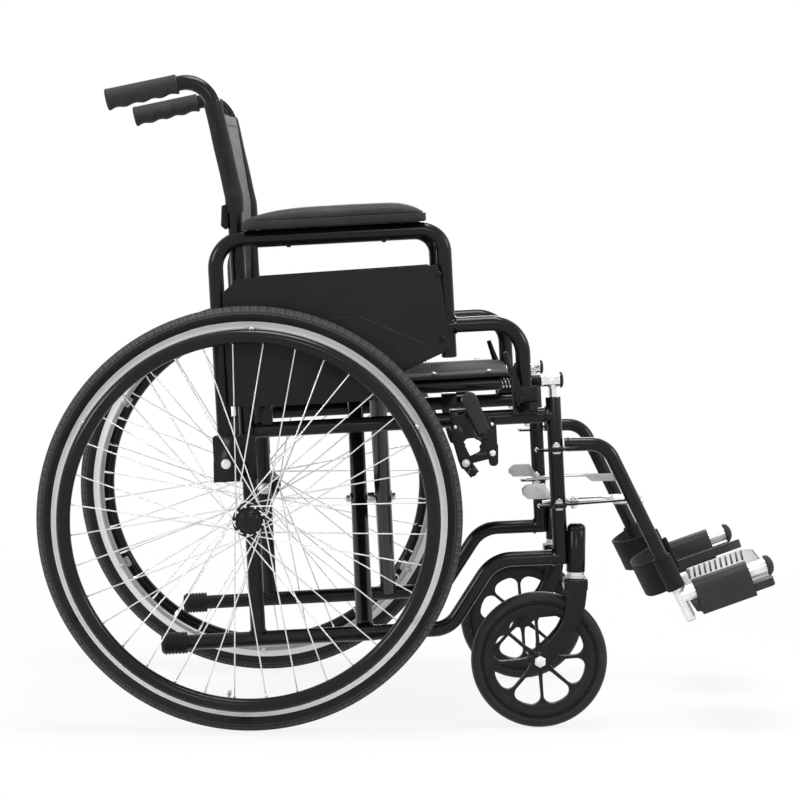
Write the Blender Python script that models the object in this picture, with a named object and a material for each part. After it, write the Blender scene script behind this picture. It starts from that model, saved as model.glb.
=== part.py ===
"""Lightweight folding wheelchair, modelled sub-part by sub-part.

Metres, +Z up, +X forward, +Y towards the chair's left. The side frames lean back by
FRAME_TILT, so most tubes are placed in frame coordinates: u runs along the rails,
v runs up the uprights and y runs across the chair. Both sides are built by the same
functions; side is -1 for the right side and +1 for the left.
"""
import math

import bmesh
import bpy
from mathutils import Matrix, Vector

# Overall
WHEEL_R = 0.305                      # 24 inch rear wheel with its tyre
AXLE_X = -0.2295                     # rear axle, from the middle of the chair's length
FRAME_TILT = math.radians(3.8)
LOWER_RAIL_Z = 0.124                 # lower rail's height under the axle
AXLE_V = WHEEL_R - LOWER_RAIL_Z      # rear axle above the lower rail
CASTER_R = 0.0995                    # 8 inch caster
FRAME_Y = 0.2275                     # side frame plane, from the chair's middle
GAP = 0.0003                         # clearance between touching pieces

# Tubes
TUBE_R = 0.011
BRACE_R = 0.0125
TUBE_SIDES = 10
BRACE_SIDES = 12
BEND_STEP = math.radians(22.5)

# Side frame
LOWER_RAIL_REAR_U = -0.136
SIDE_RAIL_V = 0.304
STEM_FROM_AXLE = 0.4725              # caster stem ahead of the rear axle
UPRIGHT_U = STEM_FROM_AXLE - 0.0265  # the caster housing is welded to the upright's front
UPRIGHT_TOP_V = SIDE_RAIL_V + 0.026
UPRIGHT_LOW_V = 2.0 * CASTER_R - 0.103
S_BEND_LOW_U = 0.2785
S_BEND_TOP_U = S_BEND_LOW_U + 0.722 * UPRIGHT_LOW_V
CANE_BEND_V = 0.643
CANE_RADIUS = 0.12
CANE_TOP = (-0.0296, CANE_BEND_V + 0.174)
HANDLE_END = (CANE_TOP[0] - 0.1433, CANE_TOP[1] - 0.0245)
SLEEVE_BORE_R = 0.0068
STEM_LOW_V = UPRIGHT_LOW_V + 0.008

# Casters
CASTER_Y = FRAME_Y
CASTER_TRAIL = 0.051
HOUSING_R = 0.01375
HOUSING_LOW_Z = 2.0 * CASTER_R + 0.0295
HOUSING_TOP_Z = HOUSING_LOW_Z + 0.0720
STEM_R = 0.006

# Rear wheel
ARM_Y = FRAME_Y + 2.0 * TUBE_R + 0.0035   # armrest plane, between side frame and wheel
WHEEL_Y = ARM_Y + 0.0365
TYRE_W = 0.032
RIM_OUTER_R = WHEEL_R - 0.022
RIM_INNER_R = RIM_OUTER_R - 0.0165
RIM_W = 0.022
HUB_FLANGE_R = 0.024
HUB_HALF = 0.0255
AXLE_R = 0.006
SPOKES_A_SIDE = 18
SPOKE_R = 0.0011
SPOKE_TURN = math.radians(80.0)      # a spoke's rim end leads or trails its hub end by this
HANDRIM_Y = WHEEL_Y + 0.034
HANDRIM_R = RIM_OUTER_R - 0.0218
HANDRIM_TUBE_R = 0.0090
HANDRIM_TABS = 6
WHEEL_SEGMENTS = 36

# Armrest
ARM_PIVOT = (-0.031, AXLE_V + 0.079)
ARM_LEG_LOW_V = ARM_PIVOT[1] - 0.010
FORWARD_TUBE_V = SIDE_RAIL_V + 0.138
ARM_TOP_V = FORWARD_TUBE_V + 0.140
ARM_FRONT_U = 0.298
ARM_FRONT_LOW_V = FORWARD_TUBE_V - 0.044
SOCKET_U = UPRIGHT_U - 0.042
SOCKET_TOP_V = SIDE_RAIL_V + 0.045
PAD_LOW_V = ARM_TOP_V + TUBE_R + GAP
PAD_Y = ARM_Y + 0.014
PAD_W = 0.050
PAD_REAR_U = 0.012
PANEL_T = 0.0025

# Scissor and seat
RAIL_V = UPRIGHT_TOP_V + 0.024       # seat rails above the lower rails
BRACE_A_U = 0.155
BRACE_B_U = BRACE_A_U + 0.037         # the braces pass each other with a spacer between
SEAT_RAIL_R = 0.010
SEAT_RAIL_REAR_U = 0.0125
SEAT_RAIL_FRONT_U = UPRIGHT_U - 0.075
GUIDE_ROD_R = 0.0045
GUIDE_COLLAR_U = UPRIGHT_U - 0.0305
SLEEVE_T_REAR_U = UPRIGHT_U - 0.016
SLEEVE_T_FRONT_U = UPRIGHT_U + 0.011
STEM_T_R = 0.00575
SPRING_MEAN_R = 0.0065
SPRING_WIRE_R = 0.0009
SPRING_TURNS = 5
SLING_REAR_U = 0.012
SLING_FRONT_U = SEAT_RAIL_FRONT_U + 0.027
SLING_T = 0.008
SAG_HALF = FRAME_Y - 0.0225          # the slings sag between these two lines

# Hanger and footrest
HINGE_Y = FRAME_Y + TUBE_R + 0.011
HINGE_V_UPPER = SIDE_RAIL_V - 0.0512
HINGE_V_LOWER = UPRIGHT_LOW_V + 0.075
HANGER_R = 0.010
HANGER_TOP_V = HINGE_V_UPPER + 0.0067
HANGER_CORNER = (UPRIGHT_U + 0.0733, HANGER_TOP_V - 0.0020)
HANGER_LOW = (UPRIGHT_U + 0.1264, 0.2995)         # from the axle and the floor
HANGER_SLOPE = math.radians(63.0)
HANGER_END = 0.098
LOWER_PLATE_BACK = 0.010406057       # its end, behind the hanger tube's axis
FOOT_SHAFT_REAR = (HANGER_LOW[0] + 0.0534, HANGER_LOW[1] - 0.1046)
FOOT_SHAFT_FRONT = (FOOT_SHAFT_REAR[0] + 0.1250, FOOT_SHAFT_REAR[1] + 0.0465)
FOOT_SHAFT_R = 0.011
PLATE_REACH = 0.175
PLATE_T = 0.013

COS_T = math.cos(FRAME_TILT)
SIN_T = math.sin(FRAME_TILT)


def frame_point(u, v, y=0.0):
    """World point for frame coordinates u, v and y."""
    du, dv = u, v - AXLE_V
    return Vector((AXLE_X + du * COS_T - dv * SIN_T, y, WHEEL_R + du * SIN_T + dv * COS_T))


def axle_point(x, z, y=0.0):
    """World point for x measured from the rear axle and z from the floor."""
    return Vector((AXLE_X + x, y, z))


U_DIR = Vector((COS_T, 0.0, SIN_T))
V_DIR = Vector((-SIN_T, 0.0, COS_T))
Y_DIR = Vector((0.0, 1.0, 0.0))
X_DIR = Vector((1.0, 0.0, 0.0))
Z_DIR = Vector((0.0, 0.0, 1.0))

for old in list(bpy.data.objects):
    bpy.data.objects.remove(old, do_unlink=True)


def material(name, colour, roughness, metallic):
    """Principled material with the part's colour, roughness and metallic value."""
    mat = bpy.data.materials.get(name)
    if mat is None:
        mat = bpy.data.materials.new(name)
        mat.use_nodes = True
        shader = mat.node_tree.nodes["Principled BSDF"]
        shader.inputs["Base Color"].default_value = (*colour, 1.0)
        shader.inputs["Roughness"].default_value = roughness
        shader.inputs["Metallic"].default_value = metallic
        mat.diffuse_color = (*colour, 1.0)
    return mat


def black_paint(name):
    return material(name + "_paint", (0.012, 0.012, 0.013), 0.28, 0.0)


def chrome(name):
    return material(name + "_chrome", (0.80, 0.80, 0.81), 0.12, 1.0)


def plastic(name, grey=0.014, roughness=0.45):
    return material(name + "_plastic", (grey, grey, grey), roughness, 0.0)


def rubber(name):
    return material(name + "_rubber", (0.018, 0.018, 0.018), 0.7, 0.0)


def fabric(name):
    return material(name + "_fabric", (0.020, 0.020, 0.021), 0.85, 0.0)


def mesh_object(bm, name):
    """Object with the closed body in bm, its normals turned outwards."""
    bmesh.ops.remove_doubles(bm, verts=bm.verts, dist=1e-6)
    bmesh.ops.recalc_face_normals(bm, faces=bm.faces)
    data = bpy.data.meshes.new(name)
    bm.to_mesh(data)
    bm.free()
    ob = bpy.data.objects.new(name, data)
    bpy.context.scene.collection.objects.link(ob)
    return ob


def loft(rings, name="piece"):
    """Closed body through rings with equal point counts; a ring of one point ends in a tip."""
    bm = bmesh.new()
    loops = [[bm.verts.new(p) for p in ring] for ring in rings]
    for low, high in zip(loops, loops[1:]):
        count = max(len(low), len(high))
        for i in range(count):
            j = (i + 1) % count
            if len(low) == 1:
                bm.faces.new((low[0], high[i], high[j]))
            elif len(high) == 1:
                bm.faces.new((low[i], high[0], low[j]))
            else:
                bm.faces.new((low[i], high[i], high[j], low[j]))
    for loop in (loops[0], loops[-1]):
        if len(loop) > 2:
            bm.faces.new(loop)
    return mesh_object(bm, name)


def closed_loft(rings, name="piece"):
    """Body whose last ring joins its first, such as a tyre."""
    bm = bmesh.new()
    loops = [[bm.verts.new(p) for p in ring] for ring in rings]
    for k, low in enumerate(loops):
        high = loops[(k + 1) % len(loops)]
        for i in range(len(low)):
            j = (i + 1) % len(low)
            bm.faces.new((low[i], high[i], high[j], low[j]))
    return mesh_object(bm, name)


def ring_points(centre, side_a, side_b, radius, sides, shift=0.5):
    """Points round a circle, half a step from side_a unless shift is 0, so that flats face it."""
    step = 2.0 * math.pi / sides
    return [centre + side_a * (radius * math.cos((i + shift) * step))
            + side_b * (radius * math.sin((i + shift) * step)) for i in range(sides)]


def cross_axes(axis):
    """Two unit directions square to axis, the first as level across the chair as it can be."""
    axis = axis.normalized()
    first = Y_DIR - axis * axis.dot(Y_DIR)
    if first.length < 0.1:
        first = X_DIR - axis * axis.dot(X_DIR)
    first.normalize()
    return first, axis.cross(first)


def rod(start, end, radius, sides=TUBE_SIDES, end_radius=None, name="piece"):
    """Straight round bar."""
    a, b = cross_axes(end - start)
    last = radius if end_radius is None else end_radius
    return loft([ring_points(start, a, b, radius, sides), ring_points(end, a, b, last, sides)], name)


def turned(origin, axis, profile, sides, shift=0.5, name="piece"):
    """Turned body: profile is a list of (distance along axis, radius)."""
    axis = axis.normalized()
    a, b = cross_axes(axis)
    rings = []
    for along, radius in profile:
        centre = origin + axis * along
        rings.append([centre] if radius < 1e-7 else ring_points(centre, a, b, radius, sides, shift))
    return loft(rings, name)


def ring_body(origin, axis, section, sides, name="piece"):
    """Body of revolution with an open middle: section is a closed list of (along, radius)."""
    axis = axis.normalized()
    a, b = cross_axes(axis)
    rings = []
    for i in range(sides):
        angle = 2.0 * math.pi * i / sides
        out = a * math.cos(angle) + b * math.sin(angle)
        rings.append([origin + axis * along + out * radius for along, radius in section])
    return closed_loft(rings, name)


def bent_path(corners, radii):
    """Points along a path with its inner corners rounded to the given radii."""
    points = [corners[0]]
    for i in range(1, len(corners) - 1):
        before = (corners[i - 1] - corners[i]).normalized()
        after = (corners[i + 1] - corners[i]).normalized()
        turn = math.pi - before.angle(after)
        radius = radii[i - 1]
        cut = radius * math.tan(turn / 2.0)
        start = corners[i] + before * cut
        inward = (before + after).normalized()
        centre = corners[i] + inward * (radius / math.cos(turn / 2.0))
        arm = start - centre
        axis = before.cross(after).normalized()
        steps = max(2, math.ceil(turn / BEND_STEP - 0.01))
        for k in range(steps + 1):
            points.append(centre + Matrix.Rotation(-turn * k / steps, 3, axis) @ arm)
    points.append(corners[-1])
    return points


def sweep(points, radius, sides=TUBE_SIDES, name="piece"):
    """Round tube along a path, carried along without twist."""
    heads = []
    for i, point in enumerate(points):
        ahead = points[min(i + 1, len(points) - 1)] - point
        behind = point - points[max(i - 1, 0)]
        heads.append((ahead.normalized() + behind.normalized()).normalized())
    a, b = cross_axes(heads[0])
    rings = []
    for i, point in enumerate(points):
        if i:
            a = a - heads[i] * a.dot(heads[i])
            a.normalize()
            b = heads[i].cross(a)
        rings.append(ring_points(point, a, b, radius, sides))
    return loft(rings, name)


def tube(corners, radii, radius=TUBE_R, sides=TUBE_SIDES, name="piece"):
    return sweep(bent_path(corners, radii), radius, sides, name)


def prism(outline, offset, name="piece"):
    """Flat outline pushed out by the offset vector."""
    return loft([outline, [p + offset for p in outline]], name)


def plate_uv(outline, y_from, y_to, name="piece"):
    """Upright plate: outline in frame coordinates, from y_from to y_to."""
    return prism([frame_point(u, v, y_from) for u, v in outline], Y_DIR * (y_to - y_from), name)


def plate_uy(outline, v_from, v_to, name="piece"):
    """Level plate: outline in u and y, from v_from to v_to."""
    return prism([frame_point(u, v_from, y) for u, y in outline], V_DIR * (v_to - v_from), name)


def block_uv(u0, u1, v0, v1, y0, y1, name="piece"):
    return plate_uv([(u0, v0), (u1, v0), (u1, v1), (u0, v1)], y0, y1, name)


def rounded(outline, radius, steps=3):
    """Two-number outline with every corner rounded."""
    flat = [Vector((a, b, 0.0)) for a, b in outline]
    result = []
    for i, corner in enumerate(flat):
        before = (flat[i - 1] - corner).normalized()
        after = (flat[(i + 1) % len(flat)] - corner).normalized()
        turn = math.pi - before.angle(after)
        r = radius[i] if isinstance(radius, (list, tuple)) else radius
        if turn < 0.02 or r <= 0.0:
            result.append((corner.x, corner.y))
            continue
        start = corner + before * (r * math.tan(turn / 2.0))
        centre = corner + (before + after).normalized() * (r / math.cos(turn / 2.0))
        axis = before.cross(after).normalized()
        for k in range(steps + 1):
            p = centre + Matrix.Rotation(-turn * k / steps, 3, axis) @ (start - centre)
            result.append((p.x, p.y))
    return result


def bore_radius(radius, sides=TUBE_SIDES, gap=GAP):
    """Corner radius of a many-sided bore that clears a round bar by gap."""
    return (radius + gap) / math.cos(math.pi / sides)


def combine(base, tool, operation):
    """Exact Boolean of base with tool; the tool object is used up."""
    step = base.modifiers.new("combine", 'BOOLEAN')
    step.solver = 'EXACT'
    step.operation = operation
    step.object = tool
    graph = bpy.context.evaluated_depsgraph_get()
    data = bpy.data.meshes.new_from_object(base.evaluated_get(graph), depsgraph=graph)
    base.modifiers.clear()
    old_data = base.data
    base.data = data
    bpy.data.meshes.remove(old_data)
    bpy.data.objects.remove(tool, do_unlink=True)
    return base


def fuse(base, *tools):
    for tool in tools:
        combine(base, tool, 'UNION')
    return base


def cut(base, *tools):
    for tool in tools:
        combine(base, tool, 'DIFFERENCE')
    return base


def finish(ob, name, mat, origin=None, smooth=True):
    """Name the sub-part, give it its material and put its origin on its joint axis."""
    ob.name = name
    ob.data.name = name
    ob.data.materials.clear()
    ob.data.materials.append(mat)
    bm = bmesh.new()
    bm.from_mesh(ob.data)
    bmesh.ops.remove_doubles(bm, verts=bm.verts, dist=2e-6)
    bmesh.ops.dissolve_degenerate(bm, edges=bm.edges, dist=1e-6)
    for face in bm.faces:
        face.material_index = 0
        face.smooth = smooth
    if origin is not None:
        bmesh.ops.translate(bm, verts=bm.verts, vec=-origin)
        ob.location = origin
    bm.to_mesh(ob.data)
    bm.free()
    if smooth:
        ob.data.set_sharp_from_angle(angle=math.radians(32.0))
    return ob


def side_name(side):
    return "right_" if side < 0 else "left_"


FOOT_HALF = 0.018                    # half length of the brace feet on the lower rails
NECK_R = 0.0078                      # the lower rail is necked down inside the foot
FOOT_R = 0.0116
LUG_T = 0.003
PIN_R = 0.0035
BRACKET_OUT_Y = ARM_Y + TUBE_R + 0.0005
BRACKET_IN_Y = FRAME_Y + TUBE_R - 0.0015
BRACKET_T = 0.0022


def hinge_pin(level, y):
    """Upright hinge pin with its nut above and its dome below."""
    base = frame_point(UPRIGHT_U, level, y)
    profile = [(-0.0080, 0.0), (-0.0076, 0.0030), (-0.0055, 0.0052), (0.0002 - LUG_T / 2, 0.0060),
               (0.0002 - LUG_T / 2, PIN_R), (LUG_T * 1.5 + 2 * GAP, PIN_R),
               (LUG_T * 1.5 + 2 * GAP, 0.0056), (0.0112, 0.0056), (0.0112, 0.0)]
    return turned(base, V_DIR, profile, 8)


def build_side_frame(side):
    """Back post with cane, side rail, lower rail, front upright and caster housing."""
    y = side * FRAME_Y

    def at(u, v):
        return frame_point(u, v, y)

    body = tube([at(0, 0), at(0, CANE_BEND_V), at(*CANE_TOP), at(*HANDLE_END)], [CANE_RADIUS, 0.040])
    rail = tube([at(LOWER_RAIL_REAR_U, 0), at(S_BEND_LOW_U, 0), at(S_BEND_TOP_U, UPRIGHT_LOW_V + 0.001),
                 at(UPRIGHT_U, UPRIGHT_LOW_V)], [0.042, 0.052])
    side_rail = rod(at(0, SIDE_RAIL_V), at(UPRIGHT_U, SIDE_RAIL_V), TUBE_R)
    upright = rod(at(UPRIGHT_U, UPRIGHT_LOW_V - 0.010), at(UPRIGHT_U, UPRIGHT_TOP_V), TUBE_R)
    fuse(body, rail, side_rail, upright)

    stem_foot = axle_point(STEM_FROM_AXLE, 0.0, side * CASTER_Y)
    housing = turned(stem_foot, Z_DIR, [
        (HOUSING_LOW_Z, 0.0), (HOUSING_LOW_Z, HOUSING_R), (HOUSING_TOP_Z - 0.008, HOUSING_R),
        (HOUSING_TOP_Z - 0.002, HOUSING_R * 0.72), (HOUSING_TOP_Z, 0.0)], 16)
    fuse(body, housing)

    # Pivot bracket of the armrest, open to the rear and the top
    pu, pv = ARM_PIVOT
    inner = block_uv(pu - 0.019, 0.012, pv - 0.028, pv + 0.040,
                     side * BRACKET_IN_Y, side * (ARM_Y - TUBE_R - 0.0008))
    web = block_uv(-0.0125, -0.0096, pv - 0.0274, pv + 0.0394,
                   side * (BRACKET_IN_Y + 0.001), side * (BRACKET_OUT_Y + 0.001))
    outer = block_uv(pu - 0.019, -0.009, pv - 0.028, pv + 0.040,
                     side * BRACKET_OUT_Y, side * (BRACKET_OUT_Y + BRACKET_T))
    bolt = turned(frame_point(pu, pv, side * (BRACKET_IN_Y + 0.001)), Y_DIR * side, [
        (0.0, 0.0), (0.0, PIN_R), (0.0285, PIN_R), (0.0285, 0.0060), (0.0309, 0.0050), (0.0309, 0.0)], 8)
    fuse(body, inner, web, outer, bolt)

    # Hinge lugs of the leg hanger, wrapped round the upright
    for level in (HINGE_V_LOWER, HINGE_V_UPPER):
        outline = rounded([
            (-0.028, -0.0270), (-0.028, -0.0170), (-0.010, -0.0055), (-0.008, 0.0075),
            (0.008, 0.0075), (0.0118, -0.0075), (0.0118, -0.0345), (-0.0120, -0.0345)],
            [0.003, 0.003, 0.004, 0.004, 0.004, 0.004, 0.007, 0.007], 1)
        lug = plate_uy([(UPRIGHT_U + du, side * (HINGE_Y + dy)) for du, dy in outline],
                       level - LUG_T / 2, level + LUG_T / 2)
        fuse(body, lug, hinge_pin(level, side * HINGE_Y))

    # Saddle for the rear of the seat rail
    low, high = SIDE_RAIL_V + 0.008, RAIL_V - 0.002
    saddle = block_uv(0.022, 0.038, low, high, y - 0.0140, y + 0.0140)
    trough = block_uv(0.020, 0.040, RAIL_V - SEAT_RAIL_R - GAP * 1.5, high + 0.01, y - 0.0104, y + 0.0104)
    fuse(body, cut(saddle, trough))

    # Bores: T stem, caster stem, axle, brace foot
    foot_u = BRACE_A_U if side < 0 else BRACE_B_U
    neck = ring_body(at(foot_u, 0), U_DIR, [
        (-FOOT_HALF - GAP, NECK_R), (FOOT_HALF + GAP, NECK_R),
        (FOOT_HALF + GAP, 0.020), (-FOOT_HALF - GAP, 0.020)], 16)
    cut(body,
        rod(at(UPRIGHT_U, STEM_LOW_V - 0.004), at(UPRIGHT_U, UPRIGHT_TOP_V + 0.01), SLEEVE_BORE_R),
        rod(stem_foot + Z_DIR * (HOUSING_LOW_Z - 0.01), stem_foot + Z_DIR * (HOUSING_TOP_Z - 0.012),
            bore_radius(STEM_R)),
        rod(frame_point(0, AXLE_V, side * 0.20), frame_point(0, AXLE_V, side * 0.25), bore_radius(AXLE_R)),
        neck)
    name = side_name(side) + "side_frame"
    return finish(body, name, black_paint(name), frame_point(0, 0, y))


def build_tipping_cap(side):
    y = side * FRAME_Y
    start = frame_point(LOWER_RAIL_REAR_U - 0.005, 0, y)
    depth = 0.0374
    body = turned(start, U_DIR, [(0.0, 0.0), (0.0, 0.0135), (0.004, 0.0155), (depth - 0.004, 0.0162),
                                 (depth, 0.0150), (depth, 0.0)], 16)
    for k in range(5):
        along = 0.005 + k * 0.0062
        cut(body, block_uv(LOWER_RAIL_REAR_U - 0.005 + along, LOWER_RAIL_REAR_U - 0.005 + along + 0.0022,
                           0.0148, 0.020, y - 0.02, y + 0.02))
    cut(body, rod(frame_point(LOWER_RAIL_REAR_U - GAP, 0, y), frame_point(-0.09, 0, y), bore_radius(TUBE_R)))
    name = side_name(side) + "tipping_cap"
    return finish(body, name, rubber(name))


GRIP_START = 0.0434
GRIP_R = 0.0140


def build_hand_grip(side):
    """Ribbed grip with finger scallops below, its bore closed at the end."""
    y = side * FRAME_Y
    corner, end = frame_point(*CANE_TOP, y), frame_point(*HANDLE_END, y)
    along = (end - corner).normalized()
    start = corner + along * GRIP_START
    length = (end - start).length + 0.0035
    down = (Z_DIR * -1.0 - along * along.dot(Z_DIR * -1.0)).normalized()
    rings = []
    stations = 17
    sides = 10
    for k in range(stations):
        share = k / (stations - 1)
        centre = start + along * (length * share)
        radius = GRIP_R + 0.0016 * share
        if k == stations - 1:
            radius *= 0.90
        scallop = 0.0022 * (0.5 - 0.5 * math.cos(2.0 * math.pi * 4.0 * share))
        ring = []
        for i in range(sides):
            angle = 2.0 * math.pi * i / sides
            lower = max(0.0, math.cos(angle))
            r = radius - scallop * lower + 0.0010 * lower
            ring.append(centre + down * (r * math.cos(angle)) + Y_DIR * (r * math.sin(angle)))
        rings.append(ring)
    body = loft(rings)
    cut(body, rod(start - along * 0.01, end + along * GAP, bore_radius(TUBE_R)))
    name = side_name(side) + "hand_grip"
    return finish(body, name, rubber(name))


AXLE_OUT_Y = 0.3120


def build_rear_axle(side):
    flat = TUBE_R * math.cos(math.pi / TUBE_SIDES)
    y0 = FRAME_Y - flat - GAP
    y1 = FRAME_Y + flat + GAP
    hub_in = WHEEL_Y - HUB_HALF - GAP
    profile = [(y0 - 0.0095, 0.0), (y0 - 0.0095, 0.0090), (y0, 0.0095), (y0, AXLE_R), (y1, AXLE_R),
               (y1, 0.0092), (hub_in, 0.0092), (hub_in, AXLE_R), (AXLE_OUT_Y, AXLE_R), (AXLE_OUT_Y, 0.0)]
    body = turned(frame_point(0, AXLE_V, 0), Y_DIR * side, profile, TUBE_SIDES)
    name = side_name(side) + "rear_axle"
    return finish(body, name, material(name + "_steel", (0.55, 0.55, 0.56), 0.35, 1.0))


def wheel_centre(side, y=WHEEL_Y):
    return frame_point(0, AXLE_V, side * y)


def build_rear_tyre(side):
    half = TYRE_W / 2.0
    inner = RIM_OUTER_R + GAP
    wide, shoulder = RIM_OUTER_R + 0.0075, WHEEL_R - 0.0055
    section = [(-0.0110, inner), (-half, wide), (-half * 0.86, shoulder),
               (0.0, WHEEL_R), (half * 0.86, shoulder), (half, wide), (0.0110, inner)]
    body = ring_body(wheel_centre(side), Y_DIR, section, WHEEL_SEGMENTS)
    name = side_name(side) + "rear_tyre"
    mat = material(name + "_rubber", (0.020, 0.020, 0.020), 0.75, 0.0)
    return finish(body, name, mat, wheel_centre(side))


def build_rear_rim(side):
    half = RIM_W / 2.0
    edge = RIM_INNER_R + 0.0055
    section = [(-half, RIM_OUTER_R), (-half, edge), (-half * 0.5, RIM_INNER_R),
               (half * 0.5, RIM_INNER_R), (half, edge), (half, RIM_OUTER_R)]
    body = ring_body(wheel_centre(side), Y_DIR, section, WHEEL_SEGMENTS)
    name = side_name(side) + "rear_rim"
    mat = material(name + "_aluminium", (0.60, 0.60, 0.61), 0.35, 1.0)
    return finish(body, name, mat, wheel_centre(side))


def build_rear_spokes(side):
    """Hub, its cap and crossed spokes that end in the rim's well."""
    centre = wheel_centre(side)
    h = HUB_HALF
    profile = [(-h, 0.0), (-h, 0.0120), (-h + 0.0042, 0.0125), (-h + 0.0042, HUB_FLANGE_R),
               (-h + 0.0077, HUB_FLANGE_R), (-h + 0.0077, 0.0125), (h - 0.0075, 0.0125),
               (h - 0.0075, HUB_FLANGE_R), (h - 0.0040, HUB_FLANGE_R), (h - 0.0040, 0.0130),
               (h + 0.0035, 0.0130), (h + 0.0060, 0.0095), (h + 0.0060, 0.0)]
    hub = turned(centre, Y_DIR * side, profile, 12)
    spokes = None
    count = SPOKES_A_SIDE
    rim_reach = RIM_INNER_R * math.cos(math.pi / WHEEL_SEGMENTS) - 2 * GAP
    for flange in (-1, 1):
        flange_y = side * flange * (h - 0.0058)
        for j in range(count):
            hub_angle = math.radians(6.0) + 2.0 * math.pi * (j + (0.5 if flange < 0 else 0.0)) / count
            lean = 1 if j % 2 else -1
            rim_angle = hub_angle + lean * SPOKE_TURN
            face = lean * 0.0016
            a = centre + Vector((math.cos(hub_angle), 0, math.sin(hub_angle))) * (HUB_FLANGE_R - 0.0035)
            b = centre + Vector((math.cos(rim_angle), 0, math.sin(rim_angle))) * rim_reach
            a.y += flange_y + face
            b.y += side * flange * 0.0040 + face * 0.8
            spoke = rod(a, b, SPOKE_R, 4)
            if spokes is None:
                spokes = spoke
            else:
                bm = bmesh.new()
                bm.from_mesh(spokes.data)
                bm.from_mesh(spoke.data)
                bm.to_mesh(spokes.data)
                bm.free()
                bpy.data.objects.remove(spoke, do_unlink=True)
    fuse(hub, spokes)
    cut(hub, rod(centre - Y_DIR * side * (h + 0.01), wheel_centre(side, AXLE_OUT_Y + GAP),
                 bore_radius(AXLE_R)))
    name = side_name(side) + "rear_spokes"
    return finish(hub, name, chrome(name), centre)


def build_handrim(side):
    centre = wheel_centre(side, HANDRIM_Y)
    section = [(HANDRIM_TUBE_R * math.sin(math.pi * k / 3), HANDRIM_R + HANDRIM_TUBE_R
                * math.cos(math.pi * k / 3)) for k in range(6)]
    body = ring_body(centre, Y_DIR * side, section, WHEEL_SEGMENTS)
    rim_face = WHEEL_Y + RIM_W / 2.0 + GAP
    for k in range(HANDRIM_TABS):
        angle = 2.0 * math.pi * (k + 0.5) / HANDRIM_TABS
        out = Vector((math.cos(angle), 0.0, math.sin(angle)))
        across = Vector((-math.sin(angle), 0.0, math.cos(angle))) * 0.008
        base = wheel_centre(side, rim_face)
        foot_r, tip_r = RIM_INNER_R + 0.0068, HANDRIM_R - 0.001
        low, high = base + out * foot_r, base + out * (foot_r + 0.003)
        step = Y_DIR * side * (HANDRIM_Y - rim_face)
        tip_low, tip_high = base + out * tip_r + step, base + out * (tip_r + 0.003) + step
        tab = loft([[low - across, high - across, tip_high - across, tip_low - across],
                    [low + across, high + across, tip_high + across, tip_low + across]])
        fuse(body, tab)
    name = side_name(side) + "handrim"
    mat = material(name + "_coating", (0.016, 0.016, 0.017), 0.35, 0.0)
    return finish(body, name, mat, wheel_centre(side))


CASTER_TYRE_W = 0.028
CASTER_RIM_R = CASTER_R - 0.0137
BLADE_Y = 0.0180
BLADE_T = 0.005


def caster_centre(side):
    return axle_point(STEM_FROM_AXLE - CASTER_TRAIL, CASTER_R, side * CASTER_Y)


def build_caster_fork(side):
    y = side * CASTER_Y
    sx = STEM_FROM_AXLE
    hx = STEM_FROM_AXLE - CASTER_TRAIL
    stem_foot = axle_point(sx, 0.0, y)
    body = turned(stem_foot, Z_DIR, [
        (HOUSING_LOW_Z - 0.0245, 0.0), (HOUSING_LOW_Z - 0.0245, 0.0165), (HOUSING_LOW_Z - 0.0075, 0.0168),
        (HOUSING_LOW_Z - 0.0045, 0.0140), (HOUSING_LOW_Z - 0.0045, 0.0120), (HOUSING_LOW_Z - GAP, 0.0120), (HOUSING_LOW_Z - GAP, STEM_R),
        (HOUSING_TOP_Z - 0.0125, STEM_R), (HOUSING_TOP_Z - 0.0125, 0.0)], TUBE_SIDES)
    low, high, reach = HOUSING_LOW_Z - 0.0238, HOUSING_LOW_Z - 0.0105, BLADE_Y + BLADE_T
    crown = prism([axle_point(sx - 0.0175, z, y + w) for z, w in (
        (low, -reach), (high - 0.004, -reach), (high, 0.004 - reach), (high, reach - 0.004),
        (high - 0.004, reach), (low, reach))], X_DIR * 0.0335)
    fuse(body, crown)
    arc = []
    for k in range(7):
        angle = math.radians(150.0 + 30.0 * k)
        arc.append((hx + 0.0165 * math.cos(angle), CASTER_R + 0.0165 * math.sin(angle)))
    top = high - 0.0045
    outline = [(sx - 0.0170, top), (sx - 0.0174, CASTER_R * 1.90), (sx - 0.0218, CASTER_R * 1.56),
               (sx - 0.0367, CASTER_R * 1.35), (hx - 0.002, CASTER_R * 1.21)] + arc + [
        (hx + 0.0150, CASTER_R * 0.99), (sx - 0.0171, CASTER_R * 1.085), (sx - 0.0020, CASTER_R * 1.26),
        (sx + 0.0080, CASTER_R * 1.44), (sx + 0.0125, CASTER_R * 1.70), (sx + 0.0156, top)]
    for hand in (-1, 1):
        start = y + hand * BLADE_Y
        blade = prism([axle_point(px, pz, start) for px, pz in outline], Y_DIR * (hand * BLADE_T))
        fuse(body, blade)
    cut(body, rod(caster_centre(side) - Y_DIR * 0.04, caster_centre(side) + Y_DIR * 0.04,
                  bore_radius(0.004)))
    name = side_name(side) + "caster_fork"
    return finish(body, name, black_paint(name), axle_point(sx, HOUSING_LOW_Z, y))


def build_caster_axle(side):
    reach = BLADE_Y + BLADE_T + GAP
    profile = [(-reach - 0.0050, 0.0), (-reach - 0.0050, 0.0070), (-reach, 0.0075), (-reach, 0.004),
               (reach, 0.004), (reach, 0.0075), (reach + 0.0050, 0.0070), (reach + 0.0050, 0.0)]
    body = turned(caster_centre(side), Y_DIR, profile, TUBE_SIDES)
    name = side_name(side) + "caster_axle"
    return finish(body, name, material(name + "_steel", (0.62, 0.62, 0.63), 0.3, 1.0), caster_centre(side))


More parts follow.
